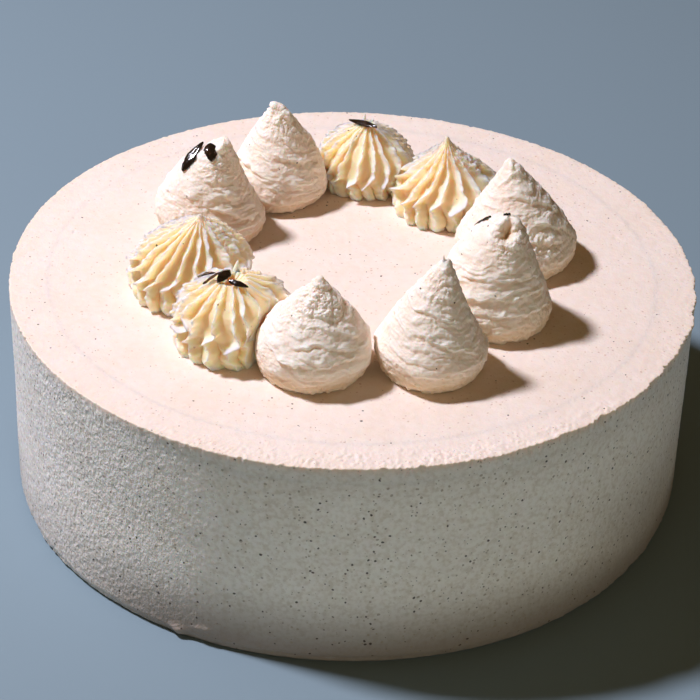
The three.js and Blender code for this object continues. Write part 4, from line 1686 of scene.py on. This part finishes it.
    @staticmethod
    def _shards() -> list[Shard]:
        """The nine shards: two on the first cone, one on a star, two on a cone, four on a star."""
        rows = (
            ((-50.9, 16.3, 87.4), (-45.1, 22.7, 93.9), (-0.5, -0.6, 0.5), 3.7, 0.6),
            ((-42.9, 19.6, 95.2), (-42.1, 15.0, 91.6), (0.1, -0.75, 0.6), 4.1, 0.4),
            ((6.2, 48.8, 86.9), (-2.4, 56.1, 85.4), (0.0, -0.3, 0.95), 2.7, 0.3),
            ((33.9, -18.2, 91.6), (38.0, -22.6, 97.4), (-0.5, 0.25, 0.85), 1.6, 0.2),
            ((41.3, -24.4, 99.0), (43.3, -24.3, 99.1), (0.0, 0.3, 0.95), 1.0, 0.1),
            ((-42.7, -33.8, 81.6), (-37.4, -38.7, 86.0), (-0.1, -0.4, 0.9), 1.9, 0.3),
            ((-33.7, -38.0, 86.7), (-36.6, -44.7, 86.8), (0.1, -0.5, 0.85), 3.2, 0.3),
            ((-33.6, -44.3, 87.1), (-28.1, -46.2, 86.5), (0.1, -0.5, 0.9), 2.0, 0.2),
            ((-40.6, -42.2, 84.5), (-35.7, -42.7, 88.9), (-0.6, -0.2, 0.8), 1.0, 0.3),
        )
        warm = 9
        return [
            Shard(f"shard_{number}", *row, seed=300 + number, warm=number == warm)
            for number, row in enumerate(rows, start=1)
        ]

    def build(self) -> None:
        """Makes every dollop and shard."""
        forms = {dollop.name: dollop.form for dollop in [*self.cones, *self.stars]}
        neighbours = Neighbours(forms)
        cone_cream = ConeFinish().made()
        star_cream = StarFinish().made()
        dark = ShardFinish().made("glossy_dark", warm=False)
        brown = ShardFinish().made("glossy_brown", warm=True)
        for cone in self.cones:
            cone.build(neighbours, cone_cream)
        for star in self.stars:
            star.build(neighbours, star_cream)
        for shard in self.shards:
            shard.build(brown if shard.warm else dark)


# ------------------------------------------------------------------------------ studio
@dataclass
class Studio:
    """Plain pale floor, soft studio light and the camera."""

    elevation: float = math.radians(33.088)
    distance: float = 681.77
    target_height: float = 37.01
    roll: float = 0.0300
    lens: float = 116.68
    sensor: float = 36.0
    floor_size: float = 6.0

    def camera(self) -> None:
        """Sets the camera at the photograph's viewing angle, turned slightly about its axis."""
        back = Vector((0.0, -math.cos(self.elevation), math.sin(self.elevation)))
        right = Vector((1.0, 0.0, 0.0))
        up = back.cross(right)
        turned_right = right * math.cos(self.roll) + up * math.sin(self.roll)
        turned_up = up * math.cos(self.roll) - right * math.sin(self.roll)
        data = bpy.data.cameras.new("camera")
        data.lens = self.lens
        data.sensor_width = self.sensor
        data.clip_start = 0.05
        data.clip_end = 20.0
        eye = bpy.data.objects.new("camera", data)
        place = back * self.distance * MM + Vector((0.0, 0.0, self.target_height * MM))
        axes = Matrix((turned_right, turned_up, back)).transposed().to_4x4()
        eye.matrix_world = Matrix.Translation(place) @ axes
        bpy.context.scene.collection.objects.link(eye)
        bpy.context.scene.camera = eye

    @staticmethod
    def towards(angle: float, elevation: float, distance: float) -> tuple[float, float, float]:
        """A place in metres, seen from just above the floor's middle.

        Args:
            angle: Degrees from +X towards +Y.
            elevation: Degrees above the floor.
            distance: Metres.

        Returns:
            The place.
        """
        turn, rise = math.radians(angle), math.radians(elevation)
        flat = distance * math.cos(rise)
        return (flat * math.cos(turn), flat * math.sin(turn), AIM_HEIGHT + distance * math.sin(rise))

    @staticmethod
    def lamp(
        name: str,
        place: tuple[float, float, float],
        size: float,
        power: float,
        colour: Colour,
    ) -> None:
        """A round soft light that looks at the cake.

        Args:
            name: The light's name.
            place: Its middle, in metres.
            size: Its diameter, in metres.
            power: Watts.
            colour: Linear colour.
        """
        data = bpy.data.lights.new(name, "AREA")
        data.shape = "DISK"
        data.size = size
        data.energy = power
        data.color = colour
        light = bpy.data.objects.new(name, data)
        way = Vector(place) - Vector((0.0, 0.0, AIM_HEIGHT))
        light.rotation_euler = way.to_track_quat("Z", "Y").to_euler()
        light.location = place
        bpy.context.scene.collection.objects.link(light)

    def lights(self) -> None:
        """A key from the left and behind, a broad low fill from the front and a dim room."""
        self.lamp("key", self.towards(167.5, 56.0, 1.3), 0.15, 20.4, (1.0, 0.97, 1.11))
        self.lamp("fill", self.towards(-75.0, 4.0, 1.4), 0.6, 3.65, (0.98, 1.0, 0.88))
        world = bpy.data.worlds.new("room")
        world.use_nodes = True
        background = world.node_tree.nodes["Background"]
        background.inputs["Color"].default_value = (1.0, 0.57, 0.14, 1.0)
        background.inputs["Strength"].default_value = 0.09
        bpy.context.scene.world = world

    def floor(self) -> None:
        """The floor that the cake stands on."""
        half = 0.5 * self.floor_size
        mesh = bpy.data.meshes.new("floor")
        corners = [(-half, -half, 0.0), (half, -half, 0.0), (half, half, 0.0), (-half, half, 0.0)]
        mesh.from_pydata(corners, [], [(0, 1, 2, 3)])
        mesh.materials.append(FloorFinish().made())
        floor = bpy.data.objects.new("floor", mesh)
        bpy.context.scene.collection.objects.link(floor)

    def build(self) -> None:
        """Sets up the floor, the camera and the lights."""
        self.camera()
        self.lights()
        self.floor()
        bpy.context.scene.view_settings.view_transform = "Standard"


def main() -> None:
    """Builds the studio, the coat and the ring of dollops."""
    logging.basicConfig(level=logging.INFO, format="%(name)s: %(message)s")
    Studio().build()
    CakeCoat(CoatFinish().made()).build()
    DollopRing().build()


if __name__ == "__main__":
    main()
